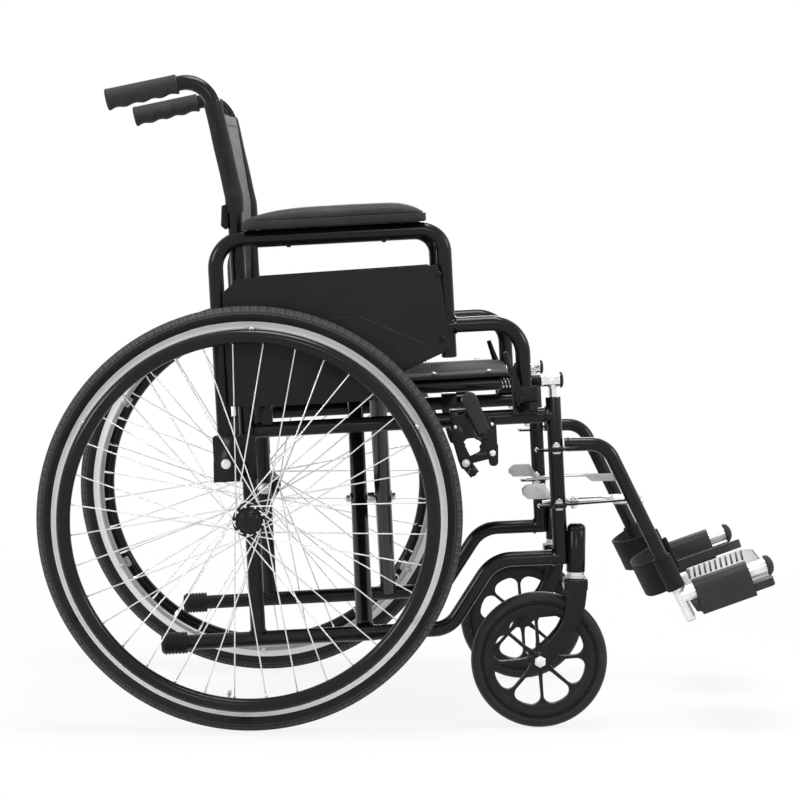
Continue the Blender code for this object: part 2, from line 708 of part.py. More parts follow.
CASTER_SEGMENTS = 24
CASTER_WINDOWS = 8


def build_caster_wheel(side):
    centre = caster_centre(side)
    hub = BLADE_Y - GAP
    well, wall = CASTER_RIM_R - 0.0200, CASTER_RIM_R - 0.0160
    profile = [(-hub, 0.0), (-hub, 0.0135), (-0.0045, 0.0150), (-0.0045, well),
               (-0.0105, wall), (-0.0110, CASTER_RIM_R - GAP), (0.0110, CASTER_RIM_R - GAP),
               (0.0105, wall), (0.0045, well), (0.0045, 0.0150), (hub, 0.0135), (hub, 0.0)]
    body = turned(centre, Y_DIR, profile, CASTER_SEGMENTS, 0.0)
    for k in range(CASTER_WINDOWS):
        middle = 2.0 * math.pi * (k + 0.5) / CASTER_WINDOWS
        outline = [(0.0205, middle - 0.22), (well - 0.007, middle - 0.335), (well, middle - 0.24),
                   (well, middle + 0.24), (well - 0.007, middle + 0.335), (0.0205, middle + 0.22)]
        cutter = prism([centre + Vector((r * math.cos(t), -0.03, r * math.sin(t))) for r, t in outline],
                       Y_DIR * 0.06)
        cut(body, cutter)
    cut(body, rod(centre - Y_DIR * 0.03, centre + Y_DIR * 0.03, bore_radius(0.004)))
    name = side_name(side) + "caster_wheel"
    return finish(body, name, plastic(name, 0.016, 0.4), centre)


def build_caster_tyre(side):
    half = CASTER_TYRE_W / 2.0
    wide, shoulder = CASTER_RIM_R + 0.0027, CASTER_R - 0.0035
    section = [(-0.0110, CASTER_RIM_R), (-half, wide), (-half * 0.85, shoulder),
               (0.0, CASTER_R), (half * 0.85, shoulder), (half, wide), (0.0110, CASTER_RIM_R)]
    body = ring_body(caster_centre(side), Y_DIR, section, CASTER_SEGMENTS)
    name = side_name(side) + "caster_tyre"
    return finish(body, name, rubber(name), caster_centre(side))


def build_armrest_frame(side):
    """One bent tube with a front leg and a forward tube that drops into the socket."""
    y = side * ARM_Y
    pu, pv = ARM_PIVOT

    def at(u, v):
        return frame_point(u, v, y)

    body = tube([at(pu, ARM_LEG_LOW_V), at(pu, ARM_TOP_V), at(ARM_FRONT_U, ARM_TOP_V),
                 at(ARM_FRONT_U, ARM_FRONT_LOW_V)], [0.042, 0.034])
    forward = tube([at(ARM_FRONT_U, FORWARD_TUBE_V), at(SOCKET_U, FORWARD_TUBE_V),
                    at(SOCKET_U, SIDE_RAIL_V + 0.006)], [0.045])
    fuse(body, forward)
    cut(body, rod(frame_point(pu, pv, y - 0.03), frame_point(pu, pv, y + 0.03), bore_radius(PIN_R, 8), 8))
    name = side_name(side) + "armrest_frame"
    return finish(body, name, black_paint(name), frame_point(pu, pv, y))


def build_armrest_pad(side):
    """Padded armrest with a level base and a crown that falls to the rear and the nose."""
    middle = side * PAD_Y
    seam = PAD_LOW_V + 0.0115
    stations = [(0.0000, 0.60, 0.0010), (0.0070, 0.86, 0.0060), (0.0400, 0.98, 0.0110),
                (0.1030, 1.0, 0.0160), (0.1700, 1.0, 0.0168), (0.2140, 0.98, 0.0158),
                (0.2450, 0.88, 0.0110), (0.2570, 0.74, 0.0060), (0.2625, 0.52, 0.0010)]
    rings = []
    for along, spread, rise in stations:
        half = PAD_W / 2.0 * spread
        u = PAD_REAR_U + along
        row = [(-half + 0.002, PAD_LOW_V), (half - 0.002, PAD_LOW_V), (half, PAD_LOW_V + 0.002),
               (half, seam), (half - 0.0035, seam + rise * 0.55), (half * 0.55, seam + rise * 0.92),
               (0.0, seam + rise), (-half * 0.55, seam + rise * 0.92), (-half + 0.0035, seam + rise * 0.55),
               (-half, seam), (-half, PAD_LOW_V + 0.002)]
        rings.append([frame_point(u, v, middle + w) for w, v in row])
    body = loft(rings)
    name = side_name(side) + "armrest_pad"
    mat = material(name + "_vinyl", (0.016, 0.016, 0.017), 0.5, 0.0)
    return finish(body, name, mat, None)


def build_side_panel(side):
    """Clothes guard in the armrest, chamfered at the top rear and cut back at the lower front."""
    inner = ARM_Y + TUBE_R * math.cos(math.pi / TUBE_SIDES) + GAP
    corners = [(-0.0220, -0.2400), (-0.0220, -0.0760), (0.0004, -0.0568), (0.2870, -0.0522),
               (0.2905, -0.0654), (0.3000, -0.1700), (0.2957, -0.1760), (0.2329, -0.2021),
               (0.1827, -0.2420), (0.0251, -0.2420)]
    outline = rounded([(u, ARM_TOP_V + dv) for u, dv in corners],
                      [0.006, 0.006, 0.006, 0.006, 0.006, 0.004, 0.006, 0.020, 0.012, 0.010], 2)
    body = plate_uv(outline, side * inner, side * (inner + PANEL_T))
    name = side_name(side) + "side_panel"
    return finish(body, name, plastic(name, 0.014, 0.38), None)


LEVER_PIN = (SOCKET_U - 0.006, SIDE_RAIL_V + 0.028)
SOCKET_OUT_Y = ARM_Y + TUBE_R + 0.0032


def build_arm_socket(side):
    """Socket on the side rail for the forward tube, open to the top and the rear."""
    wall = 0.0028
    rail_side = FRAME_Y + TUBE_R + GAP
    body = block_uv(SOCKET_U - 0.0175, SOCKET_U + 0.0175, SIDE_RAIL_V + 0.0025, SOCKET_TOP_V,
                    side * rail_side, side * SOCKET_OUT_Y)
    cap = block_uv(SOCKET_U - 0.0170, SOCKET_U + 0.0170, SIDE_RAIL_V + TUBE_R + GAP, SIDE_RAIL_V + 0.0185,
                   side * (FRAME_Y - 0.008), side * (rail_side + 0.001))
    fuse(body, cap)
    cut(body, block_uv(SOCKET_U - 0.03, SOCKET_U + TUBE_R + 0.0008, SIDE_RAIL_V + 0.0057,
                       SOCKET_TOP_V + 0.01,
                       side * (rail_side + wall), side * (SOCKET_OUT_Y - wall)))
    pu, pv = LEVER_PIN
    pin = turned(frame_point(pu, pv, side * (SOCKET_OUT_Y - 0.001)), Y_DIR * side, [
        (0.0, 0.0), (0.0, 0.0025), (0.001 + 0.0022 + 2 * GAP, 0.0025), (0.001 + 0.0022 + 2 * GAP, 0.0048),
        (0.0050, 0.0040), (0.0050, 0.0)], 8)
    fuse(body, pin)
    name = side_name(side) + "arm_socket"
    return finish(body, name, plastic(name, 0.013, 0.4), None)


def build_arm_release(side):
    pu, pv = LEVER_PIN
    tip = (pu - 0.0205, pv + 0.0680)
    length = math.hypot(tip[0] - pu, tip[1] - pv)
    du, dv = (tip[0] - pu) / length, (tip[1] - pv) / length
    outline = []
    for k in range(7):
        angle = math.atan2(dv, du) + math.radians(90.0 + 30.0 * k)
        outline.append((pu + 0.0065 * math.cos(angle), pv + 0.0065 * math.sin(angle)))
    outline += [(tip[0] + dv * 0.0035, tip[1] - du * 0.0035), (tip[0] - dv * 0.0035, tip[1] + du * 0.0035)]
    start = SOCKET_OUT_Y + GAP
    body = plate_uv(outline, side * start, side * (start + 0.0022))
    cut(body, rod(frame_point(pu, pv, side * (start - 0.01)), frame_point(pu, pv, side * (start + 0.01)),
                  bore_radius(0.0025, 8), 8))
    name = side_name(side) + "arm_release_lever"
    return finish(body, name, black_paint(name), frame_point(pu, pv, side * start))


BRAKE_PLATE_Y = SOCKET_OUT_Y + 0.0018
BRAKE_PLATE_T = 0.0030
LOCK_PIVOT = (WHEEL_R + 0.0475, SIDE_RAIL_V - 0.0477)
SHOE_PIVOT = (WHEEL_R + 0.0084, SIDE_RAIL_V - 0.0603)
SHOE_BAR = (SHOE_PIVOT[0] + 0.0081, SHOE_PIVOT[1] - 0.0115)
SHOE_BAR_R = 0.006


def build_brake_bracket(side):
    """Clamp round the side rail and the cut-out plate that carries lever and shoe."""
    y = side * FRAME_Y
    ru, rv = WHEEL_R, SIDE_RAIL_V
    body = block_uv(ru - 0.0105, ru + 0.0140, SIDE_RAIL_V - 0.0145, SIDE_RAIL_V + 0.0145, y - 0.0145, y + 0.0145)
    arm = block_uv(ru - 0.0095, ru + 0.0130, SIDE_RAIL_V - 0.0080, SIDE_RAIL_V + 0.0080,
                   side * (FRAME_Y + 0.012), side * (BRAKE_PLATE_Y + 0.001))
    corners = [(-0.0075, 0.0084), (0.0370, 0.0110), (0.0550, -0.0080), (0.0550, -0.0540),
               (0.0420, -0.0565), (0.0190, -0.0610), (0.0150, -0.0690), (0.0020, -0.0690),
               (-0.0022, -0.0570), (-0.0090, -0.0280)]
    outline = rounded([(ru + du, rv + dv) for du, dv in corners], 0.004, 2)
    plate = plate_uv(outline, side * BRAKE_PLATE_Y, side * (BRAKE_PLATE_Y + BRAKE_PLATE_T))
    fuse(body, arm, plate)
    face = BRAKE_PLATE_Y + BRAKE_PLATE_T
    for pu, pv in (LOCK_PIVOT, SHOE_PIVOT):
        reach = 0.001 + 0.0040 + 2 * GAP
        fuse(body, turned(frame_point(pu, pv, side * (face - 0.001)), Y_DIR * side, [
            (0.0, 0.0), (0.0, PIN_R), (reach, PIN_R), (reach, 0.0062), (reach + 0.0035, 0.0058),
            (reach + 0.0035, 0.0)], 8))
    corners = [(0.0065, -0.0307), (0.0115, -0.0252), (0.0243, -0.0251), (0.0321, -0.0320),
               (0.0291, -0.0447), (0.0153, -0.0505)]
    hole = rounded([(ru + du, rv + dv) for du, dv in corners], 0.0035, 2)
    cut(body, plate_uv(hole, side * (face - 0.012), side * (face + 0.012)),
        rod(frame_point(ru - 0.03, SIDE_RAIL_V, y), frame_point(ru + 0.03, SIDE_RAIL_V, y),
            bore_radius(TUBE_R)))
    name = side_name(side) + "brake_bracket"
    return finish(body, name, black_paint(name), None)


def build_brake_lever(side):
    """Push-to-lock lever with a flat plastic grip."""
    pu, pv = LOCK_PIVOT
    face = BRAKE_PLATE_Y + BRAKE_PLATE_T + GAP
    arm = plate_uv(rounded([(pu - 0.0052, pv - 0.0188), (pu + 0.0072, pv - 0.0188), (pu + 0.0085, pv + 0.0100),
                            (pu + 0.0010, pv + 0.0345), (pu - 0.0185, pv + 0.0285), (pu - 0.0085, pv + 0.0060)],
                           [0.0056, 0.0056, 0.004, 0.003, 0.003, 0.003], 2),
                   side * face, side * (face + 0.0040))
    low, high = (pu - 0.0107, pv + 0.0309), (pu - 0.0334, pv + 0.0891)
    along = Vector((high[0] - low[0], high[1] - low[1], 0.0)).normalized()
    across = Vector((along.y, -along.x, 0.0))
    rings = []
    for shift, share in ((-0.0065, 0.82), (-0.0050, 1.0), (0.0035, 1.0), (0.0065, 0.80)):
        ring = []
        for step, half in ((0.0, 0.0095), (0.30, 0.0108), (0.85, 0.0112), (0.97, 0.0098), (1.06, 0.0062)):
            spot = Vector((low[0], low[1], 0.0)) + along * (0.0590 * step) + across * (half * share)
            ring.append((spot.x, spot.y))
        for step, half in ((1.06, -0.0062), (0.97, -0.0098), (0.85, -0.0112), (0.30, -0.0108), (0.0, -0.0095)):
            spot = Vector((low[0], low[1], 0.0)) + along * (0.0590 * step) + across * (half * share)
            ring.append((spot.x, spot.y))
        rings.append([frame_point(u, v, side * (face + 0.0085 + shift)) for u, v in ring])
    grip = loft(rings)
    fuse(arm, grip)
    cut(arm, rod(frame_point(pu, pv, side * (face - 0.01)), frame_point(pu, pv, side * (face + 0.03)),
                 bore_radius(PIN_R, 8), 8))
    name = side_name(side) + "brake_lever"
    return finish(arm, name, plastic(name, 0.022, 0.5), frame_point(pu, pv, side * face))


def build_brake_shoe(side):
    pu, pv = SHOE_PIVOT
    bu, bv = SHOE_BAR
    face = BRAKE_PLATE_Y + BRAKE_PLATE_T + GAP
    length = math.hypot(bu - pu, bv - pv)
    du, dv = (bu - pu) / length, (bv - pv) / length
    outline = []
    for k in range(5):
        angle = math.atan2(dv, du) + math.radians(90.0 + 45.0 * k)
        outline.append((pu + 0.0080 * math.cos(angle), pv + 0.0080 * math.sin(angle)))
    outline += [(bu + du * 0.0070 + dv * 0.0075, bv + dv * 0.0070 - du * 0.0075),
                (bu + du * 0.0070 - dv * 0.0075, bv + dv * 0.0070 + du * 0.0075)]
    body = plate_uv(outline, side * face, side * (face + 0.0040))
    bar = rod(frame_point(bu, bv, side * (face + 0.001)), frame_point(bu, bv, side * (WHEEL_Y + 0.016)),
              SHOE_BAR_R, 10)
    fuse(body, bar)
    cut(body, rod(frame_point(pu, pv, side * (face - 0.01)), frame_point(pu, pv, side * (face + 0.01)),
                  bore_radius(PIN_R, 8), 8))
    name = side_name(side) + "brake_shoe"
    return finish(body, name, black_paint(name), frame_point(pu, pv, side * face))


EXTENSION_TOP = 0.045
EXTENSION_END = 0.156
EXTENSION_R = 0.008


def hanger_line(distance, y):
    """Point on the hanger's sloping line, measured down from HANGER_LOW."""
    return axle_point(HANGER_LOW[0] + distance * math.cos(HANGER_SLOPE),
                      HANGER_LOW[1] - distance * math.sin(HANGER_SLOPE), y)


def hanger_u(level):
    """Frame coordinate u of the hanger tube's sloping axis at a level v."""
    low = hanger_line(HANGER_END, 0.0) - frame_point(0.0, 0.0)
    top_u, top_v = HANGER_CORNER
    share = (top_v - level) / (top_v - low.dot(V_DIR))
    return top_u + (low.dot(U_DIR) - top_u) * share


def build_hanger(side):
    """Swing-away tube with the two hinge plates that drop over the pins."""
    y = side * FRAME_Y
    body = tube([frame_point(UPRIGHT_U + TUBE_R + 0.002, HANGER_TOP_V, y), frame_point(*HANGER_CORNER, y),
                 hanger_line(HANGER_END, y)], [0.036], HANGER_R)
    upper = [(-0.0085, -0.0045), (-0.0085, 0.0085), (0.0085, 0.0085), (0.0360, -0.0120),
             (0.0360, -0.0300), (0.0160, -0.0300), (0.0150, -0.0135), (0.0085, -0.0095)]
    reach = hanger_u(HINGE_V_LOWER) - LOWER_PLATE_BACK - UPRIGHT_U
    lower = [(-0.0085, -0.0045), (-0.0085, 0.0085), (0.0060, 0.0085), (reach, -0.0145),
             (reach, -0.0295), (0.0170, -0.0230), (0.0110, -0.0100)]
    for level, outline in ((HINGE_V_UPPER, upper), (HINGE_V_LOWER, lower)):
        shape = rounded([(UPRIGHT_U + du, side * (HINGE_Y + dy)) for du, dy in outline], 0.002, 1)
        base = level + LUG_T / 2 + GAP
        fuse(body, plate_uy(shape, base, base + LUG_T))
        cut(body, rod(frame_point(UPRIGHT_U, base - 0.002, side * HINGE_Y),
                      frame_point(UPRIGHT_U, base + LUG_T + 0.002, side * HINGE_Y), bore_radius(PIN_R, 8), 8))
    pu, py = RELEASE_PIVOT
    base = HINGE_V_LOWER + LUG_T / 2 + GAP + LUG_T
    pin = turned(frame_point(pu, base - 0.001, side * py), V_DIR, [
        (0.0, 0.0), (0.0, 0.0025), (0.001 + RELEASE_T + 2 * GAP, 0.0025),
        (0.001 + RELEASE_T + 2 * GAP, 0.0050), (0.0065, 0.0045), (0.0065, 0.0)], 8)
    fuse(body, pin)
    cut(body, rod(hanger_line(EXTENSION_TOP - 0.002, y), hanger_line(HANGER_END + 0.01, y),
                  bore_radius(EXTENSION_R)))
    name = side_name(side) + "hanger"
    return finish(body, name, black_paint(name), frame_point(UPRIGHT_U, 0.2, side * HINGE_Y))


RELEASE_PIVOT = (UPRIGHT_U + 0.022, FRAME_Y + 0.007)
RELEASE_T = 0.0025
WING_IN_Y = FRAME_Y - 0.0415
WING_OUT_Y = FRAME_Y - 0.0265


def build_hanger_release(side):
    """Latch lever round the inboard side of the upright, with a wing at each end."""
    pu, py = RELEASE_PIVOT
    base = HINGE_V_LOWER + LUG_T / 2 + GAP + LUG_T + GAP
    rings = []
    for du, inner, outer in ((-0.0500, 0.0165, 0.0110), (-0.0425, 0.0225, 0.0040), (-0.0160, 0.0225, 0.0030),
                             (-0.0040, 0.0, 0.0), (0.0640, 0.0, 0.0), (0.0740, 0.0005, -0.0020),
                             (0.0840, 0.0010, -0.0100), (0.1190, 0.0, -0.0115), (0.1270, -0.0060, -0.0105)):
        u = UPRIGHT_U + du
        rings.append([frame_point(u, base + inner, side * WING_IN_Y),
                      frame_point(u, base + outer, side * WING_OUT_Y),
                      frame_point(u, base + outer + RELEASE_T, side * WING_OUT_Y),
                      frame_point(u, base + inner + RELEASE_T, side * WING_IN_Y)])
    body = loft(rings)
    tab = plate_uy(rounded([(pu - 0.0075, side * (WING_OUT_Y - 0.0025)), (pu - 0.0075, side * (py + 0.0065)),
                            (pu + 0.0075, side * (py + 0.0065)), (pu + 0.0075, side * (WING_OUT_Y - 0.0025))],
                           [0.0, 0.005, 0.005, 0.0], 2), base + 0.0003, base + RELEASE_T - 0.0003)
    fuse(body, tab)
    cut(body, rod(frame_point(pu, base - 0.01, side * py), frame_point(pu, base + 0.01, side * py),
                  bore_radius(0.0025, 8), 8))
    name = side_name(side) + "hanger_release_lever"
    mat = material(name + "_zinc", (0.62, 0.62, 0.62), 0.3, 1.0)
    return finish(body, name, mat, frame_point(pu, base, side * py))


def shaft_axes(side):
    start = axle_point(*FOOT_SHAFT_REAR, side * FRAME_Y)
    end = axle_point(*FOOT_SHAFT_FRONT, side * FRAME_Y)
    along = (end - start).normalized()
    lift = Vector((-along.z, 0.0, along.x))
    return start, end, along, lift


def build_footrest_post(side):
    """Extension tube in the hanger, the footplate's shaft and its dome cap."""
    y = side * FRAME_Y
    start, end, along, lift = shaft_axes(side)
    body = rod(hanger_line(EXTENSION_TOP, y), hanger_line(EXTENSION_END, y), EXTENSION_R)
    length = (end - start).length
    shaft = turned(start, along, [(0.0, 0.0), (0.0, FOOT_SHAFT_R), (length - 0.001, FOOT_SHAFT_R),
                                  (length - 0.001, 0.0150), (length + 0.0040, 0.0142),
                                  (length + 0.0080, 0.0105), (length + 0.0105, 0.0)], 16)
    fuse(body, shaft)
    name = side_name(side) + "footrest_post"
    return finish(body, name, chrome(name), start)


WALL_LOW = -0.035
PLATE_LOW = -0.029
PLATE_RISE = 0.140
BARREL_R = 0.0170
BARREL_START = 0.0230
BARREL_END = 0.1055


def build_footplate(side):
    """Flip-up plate with the wall and barrel that turn on the shaft, and a lower ledge under the shaft."""
    start, end, along, lift = shaft_axes(side)
    inboard = Y_DIR * -side
    outline = [(WALL_LOW, BARREL_R), (WALL_LOW, 0.0020 - BARREL_R), (-0.0060, -BARREL_R)]
    for k in range(7):
        angle = math.pi - math.pi * k / 6
        outline.append((BARREL_R * math.sin(angle), BARREL_R * math.cos(angle)))
    first = start + along * BARREL_START
    body = prism([first + lift * n + inboard * i for n, i in outline],
                 along * (BARREL_END - BARREL_START))
    inner, outer = BARREL_R - 0.002, BARREL_R + 0.0015
    plan = rounded([(0.0150, outer), (BARREL_START + 0.0004, outer), (BARREL_START + 0.0004, inner),
                    (BARREL_END - 0.0004, inner), (BARREL_END - 0.0004, outer), (0.1370, outer),
                    (0.1370, PLATE_REACH - 0.02), (0.1190, PLATE_REACH), (0.0320, PLATE_REACH),
                    (0.0320, PLATE_REACH - 0.0260), (0.0150, PLATE_REACH - 0.0370)],
                   [0.0, 0.0, 0.0, 0.0, 0.0, 0.0, 0.012, 0.012, 0.006, 0.004, 0.006], 2)

    def layer(spots, low, depth):
        return prism([start + along * s + inboard * i + lift * (low + PLATE_RISE * i) for s, i in spots],
                     lift * depth)

    ledge = rounded([(0.0154, outer + 0.002), (0.0154, -0.0100), (0.1366, -0.0100), (0.1366, outer + 0.002)],
                    [0.0, 0.007, 0.007, 0.0], 2)
    fuse(body, layer(plan, PLATE_LOW, PLATE_T), layer(ledge, PLATE_LOW + 0.0003, PLATE_T - 0.0015))
    cut(body, rod(start, end + along * 0.01, bore_radius(FOOT_SHAFT_R, 16), 16))
    name = side_name(side) + "footplate"
    return finish(body, name, plastic(name, 0.028, 0.5), start)


STRAP_HALF = 0.026
STRAP_CENTRE = 0.0793


def build_heel_loop(side):
    """Sleeve on the hanger and a strap that bellies rearward to the footplate's inner corner."""
    y = side * FRAME_Y
    centre = hanger_line(STRAP_CENTRE, y)
    down = (hanger_line(1.0, y) - hanger_line(0.0, y)).normalized()
    forward = Vector((-down.z, 0.0, down.x))
    body = rod(centre - down * STRAP_HALF, centre + down * STRAP_HALF, 0.0140, 16)
    spots = [(-0.0060, 0.2190), (-0.0220, 0.2080), (-0.0340, 0.1900), (-0.0400, 0.1620), (-0.0390, 0.1300),
             (-0.0290, 0.1000), (-0.0080, 0.0760), (0.0080, 0.0670), (0.0245, 0.0635)]
    rings = []
    for i, (m, w) in enumerate(spots):
        here = centre + forward * m + Y_DIR * (side * w - y)
        last = spots[min(i + 1, len(spots) - 1)]
        prev = spots[max(i - 1, 0)]
        run = (forward * (last[0] - prev[0]) + Y_DIR * (side * (last[1] - prev[1]))).normalized()
        out = run.cross(down).normalized() * 0.0016
        tall = down * (STRAP_HALF - 0.001)
        rings.append([here - tall - out, here + tall - out, here + tall + out, here - tall + out])
    strap = loft(rings)
    fuse(body, strap)
    bore = rod(centre - down * 0.04, centre + down * 0.04, HANGER_R + GAP / math.cos(math.pi / TUBE_SIDES))
    cut(body, bore)
    name = side_name(side) + "heel_loop"
    return finish(body, name, fabric(name), None)


def build_brace(low_side, u, name):
    """Brace tube from the foot on one lower rail to the seat rail on the other side."""
    foot = frame_point(u, 0.0, low_side * FRAME_Y)
    top = frame_point(u, RAIL_V, -low_side * FRAME_Y)
    along = (top - foot).normalized()
    body = rod(foot, top - along * 0.003, BRACE_R, BRACE_SIDES)
    sleeve = rod(foot - U_DIR * FOOT_HALF, foot + U_DIR * FOOT_HALF, FOOT_R, 16)
    rail_y = -low_side * FRAME_Y
    rail = rod(frame_point(SEAT_RAIL_REAR_U, RAIL_V, rail_y), frame_point(SEAT_RAIL_FRONT_U, RAIL_V, rail_y),
               SEAT_RAIL_R)
    fuse(body, sleeve, rail)
    cut(body,
        rod(foot - U_DIR * 0.03, foot + U_DIR * 0.03, bore_radius(NECK_R, 16), 16),
        rod(frame_point(SEAT_RAIL_FRONT_U - 0.071, RAIL_V, rail_y),
            frame_point(SEAT_RAIL_FRONT_U + 0.010, RAIL_V, rail_y), bore_radius(GUIDE_ROD_R)),
        rod(frame_point(u - 0.03, RAIL_V / 2, 0), frame_point(u + 0.03, RAIL_V / 2, 0),
            bore_radius(PIN_R, 8), 8))
    mat = black_paint(name)
    return finish(body, name, mat, foot)


def build_brace_bolt():
    flat = BRACE_R * math.cos(math.pi / BRACE_SIDES) + GAP
    rear, front = BRACE_A_U - flat, BRACE_B_U + flat
    mid_a, mid_b = BRACE_A_U + flat, BRACE_B_U - flat
    profile = [(rear - 0.0085, 0.0), (rear - 0.0085, 0.0058), (rear - 0.0022, 0.0062), (rear - 0.0022, 0.0088),
               (rear, 0.0088), (rear, PIN_R), (mid_a, PIN_R), (mid_a, 0.0080), (mid_b, 0.0080),
               (mid_b, PIN_R), (front, PIN_R), (front, 0.0088), (front + 0.0022, 0.0088),
               (front + 0.0022, 0.0062), (front + 0.0075, 0.0058), (front + 0.0075, 0.0)]
    body = turned(frame_point(0, RAIL_V / 2, 0), U_DIR, profile, 8)
    mat = material("brace_bolt_steel", (0.6, 0.6, 0.61), 0.3, 1.0)
    return finish(body, "brace_bolt", mat, frame_point(BRACE_A_U + 0.015, RAIL_V / 2, 0))


def build_seat_rail_guide(side):
    """Sliding rod, collar and T sleeve whose stem runs inside the front upright."""
    y = side * FRAME_Y
    rear, neck = SEAT_RAIL_FRONT_U - 0.069, SLEEVE_T_REAR_U - 0.0015
    profile = [(rear, 0.0), (rear, GUIDE_ROD_R), (GUIDE_COLLAR_U, GUIDE_ROD_R), (GUIDE_COLLAR_U, 0.0085),
               (neck, 0.0085), (neck, 0.0080), (SLEEVE_T_REAR_U, 0.0080), (SLEEVE_T_REAR_U, 0.0095),
               (SLEEVE_T_FRONT_U, 0.0095), (SLEEVE_T_FRONT_U, 0.0115), (SLEEVE_T_FRONT_U + 0.0030, 0.0108),
               (SLEEVE_T_FRONT_U + 0.0052, 0.0060), (SLEEVE_T_FRONT_U + 0.0056, 0.0)]
    body = turned(frame_point(0, RAIL_V, y), U_DIR, profile, TUBE_SIDES)
    stem = rod(frame_point(UPRIGHT_U, RAIL_V - 0.002, y), frame_point(UPRIGHT_U, STEM_LOW_V + 0.008, y),
               STEM_T_R)
    fuse(body, stem)
    name = side_name(side) + "seat_rail_guide"
    return finish(body, name, chrome(name), frame_point(SEAT_RAIL_FRONT_U + 0.029, RAIL_V, y))


def print_gap_to_itself(name, points, wire_r, points_a_turn):
    """Least clear distance between one turn of a wound wire and the next, measured on its points."""
    half_turn = points_a_turn // 2
    least = min((points[j] - points[i]).length
                for i in range(len(points)) for j in range(i + half_turn, len(points)))
    print("%s: least gap to itself %.2f mm" % (name, (least - 2.0 * wire_r) * 1000.0))


def build_seat_rail_spring(side):
    """Wound spring between the seat rail's end and the collar."""
    y = side * FRAME_Y
    start, end = SEAT_RAIL_FRONT_U + 0.0013, GUIDE_COLLAR_U - 0.0013
    a, b = cross_axes(U_DIR)
    points = []
    steps = SPRING_TURNS * 8
    for k in range(steps + 1):
        angle = 2.0 * math.pi * k / 8
        centre = frame_point(start + (end - start) * k / steps, RAIL_V, y)
        points.append(centre + a * (SPRING_MEAN_R * math.cos(angle)) + b * (SPRING_MEAN_R * math.sin(angle)))
    body = sweep(points, SPRING_WIRE_R, 6)
    name = side_name(side) + "seat_rail_spring"
    print_gap_to_itself(name, points, SPRING_WIRE_R, 8)
    return finish(body, name, chrome(name), frame_point(SEAT_RAIL_FRONT_U + 0.029, RAIL_V, y))


def build_seat_sling():
    """Padded seat that hangs between the two seat rails."""
    half = 0.240
    low = RAIL_V + SEAT_RAIL_R + GAP
    across = 12
    rings = []
    for u, inset in ((SLING_REAR_U, 0.0020), (SLING_REAR_U + 0.006, 0.0), (0.100, 0.0), (0.205, 0.0),
                     (0.310, 0.0), (SLING_FRONT_U - 0.006, 0.0), (SLING_FRONT_U, 0.0020)):
        top, bottom = [], []
        for k in range(across + 1):
            y = -half + 2 * half * k / across
            sag = 0.0095 * (1.0 - (y / SAG_HALF) ** 2) if abs(y) < SAG_HALF else 0.0
            edge = 0.0020 if k in (0, across) else 0.0
            top.append(frame_point(u, low + SLING_T - sag - inset - edge, y))
            bottom.append(frame_point(u, low - sag * 0.75, y))
        rings.append(bottom + top[::-1])
    body = loft(rings)
    return finish(body, "seat_sling", fabric("seat_sling"), None)


def build_back_sling():
    """Back sling: a sleeve on each cane and a sheet that bellies rearward between them."""
    def lean(v):
        if v <= CANE_BEND_V:
            return 0.0
        return (v - CANE_BEND_V) * CANE_TOP[0] / (CANE_TOP[1] - CANE_BEND_V)

    low_v, sleeve_v, high_v = RAIL_V + 0.068, CANE_BEND_V - 0.023, CANE_TOP[1] - 0.037
    count = 8
    half = 0.2335
    rings = []
    for share in (0.0, 0.03, 0.2, 0.4, 0.57, 0.70, 0.85, 0.97, 1.0):
        v = low_v + (high_v - low_v) * share
        thin = 0.0006 if share in (0.0, 1.0) else 0.0
        front, rear = [], []
        for k in range(count + 1):
            y = -half + 2.0 * half * k / count
            belly = 0.018 * max(0.0, 1.0 - (y / SAG_HALF) ** 2) * (0.75 + 0.25 * math.sin(math.pi * share))
            u = lean(v) + 0.0168 - belly
            front.append(frame_point(u - thin, v, y))
            rear.append(frame_point(u - 0.0045 + thin, v, y))
        rings.append(front + rear[::-1])
    body = loft(rings)
    for side in (-1, 1):
        y = side * FRAME_Y
        corners = [frame_point(0, sleeve_v, y), frame_point(0, CANE_BEND_V, y),
                   frame_point(lean(high_v), high_v, y)]
        fuse(body, tube(corners, [CANE_RADIUS], TUBE_R + 0.0022))
    for side in (-1, 1):
        y = side * FRAME_Y
        corners = [frame_point(0, sleeve_v - 0.05, y), frame_point(0, CANE_BEND_V, y),
                   frame_point(lean(high_v + 0.02), high_v + 0.02, y)]
        cut(body, tube(corners, [CANE_RADIUS], bore_radius(TUBE_R)))
    return finish(body, "back_sling", fabric("back_sling"), None)


def build_all():
    for side in (-1, 1):
        for build in (build_side_frame, build_tipping_cap, build_hand_grip, build_rear_axle,
                      build_rear_tyre, build_rear_rim, build_rear_spokes, build_handrim,
                      build_caster_fork, build_caster_axle, build_caster_wheel, build_caster_tyre,
                      build_armrest_frame, build_armrest_pad, build_side_panel, build_arm_socket,
                      build_arm_release, build_brake_bracket, build_brake_lever, build_brake_shoe,
                      build_hanger, build_hanger_release, build_footrest_post, build_footplate,
                      build_heel_loop, build_seat_rail_guide, build_seat_rail_spring):
            build(side)
    build_brace(-1, BRACE_A_U, "brace_a")
    build_brace(1, BRACE_B_U, "brace_b")
    build_brace_bolt()
    build_seat_sling()
    build_back_sling()


build_all()
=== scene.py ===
"""Looks of the lightweight folding wheelchair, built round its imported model.

Metres, +Z up, +X forward, +Y towards the chair's left. The side frames lean back a
little, so most places are given in frame coordinates, as in the part's source: u runs
along the rails, v up the uprights and y across the chair.
"""
import math
import random

import bmesh
import bpy
from mathutils import Matrix, Vector


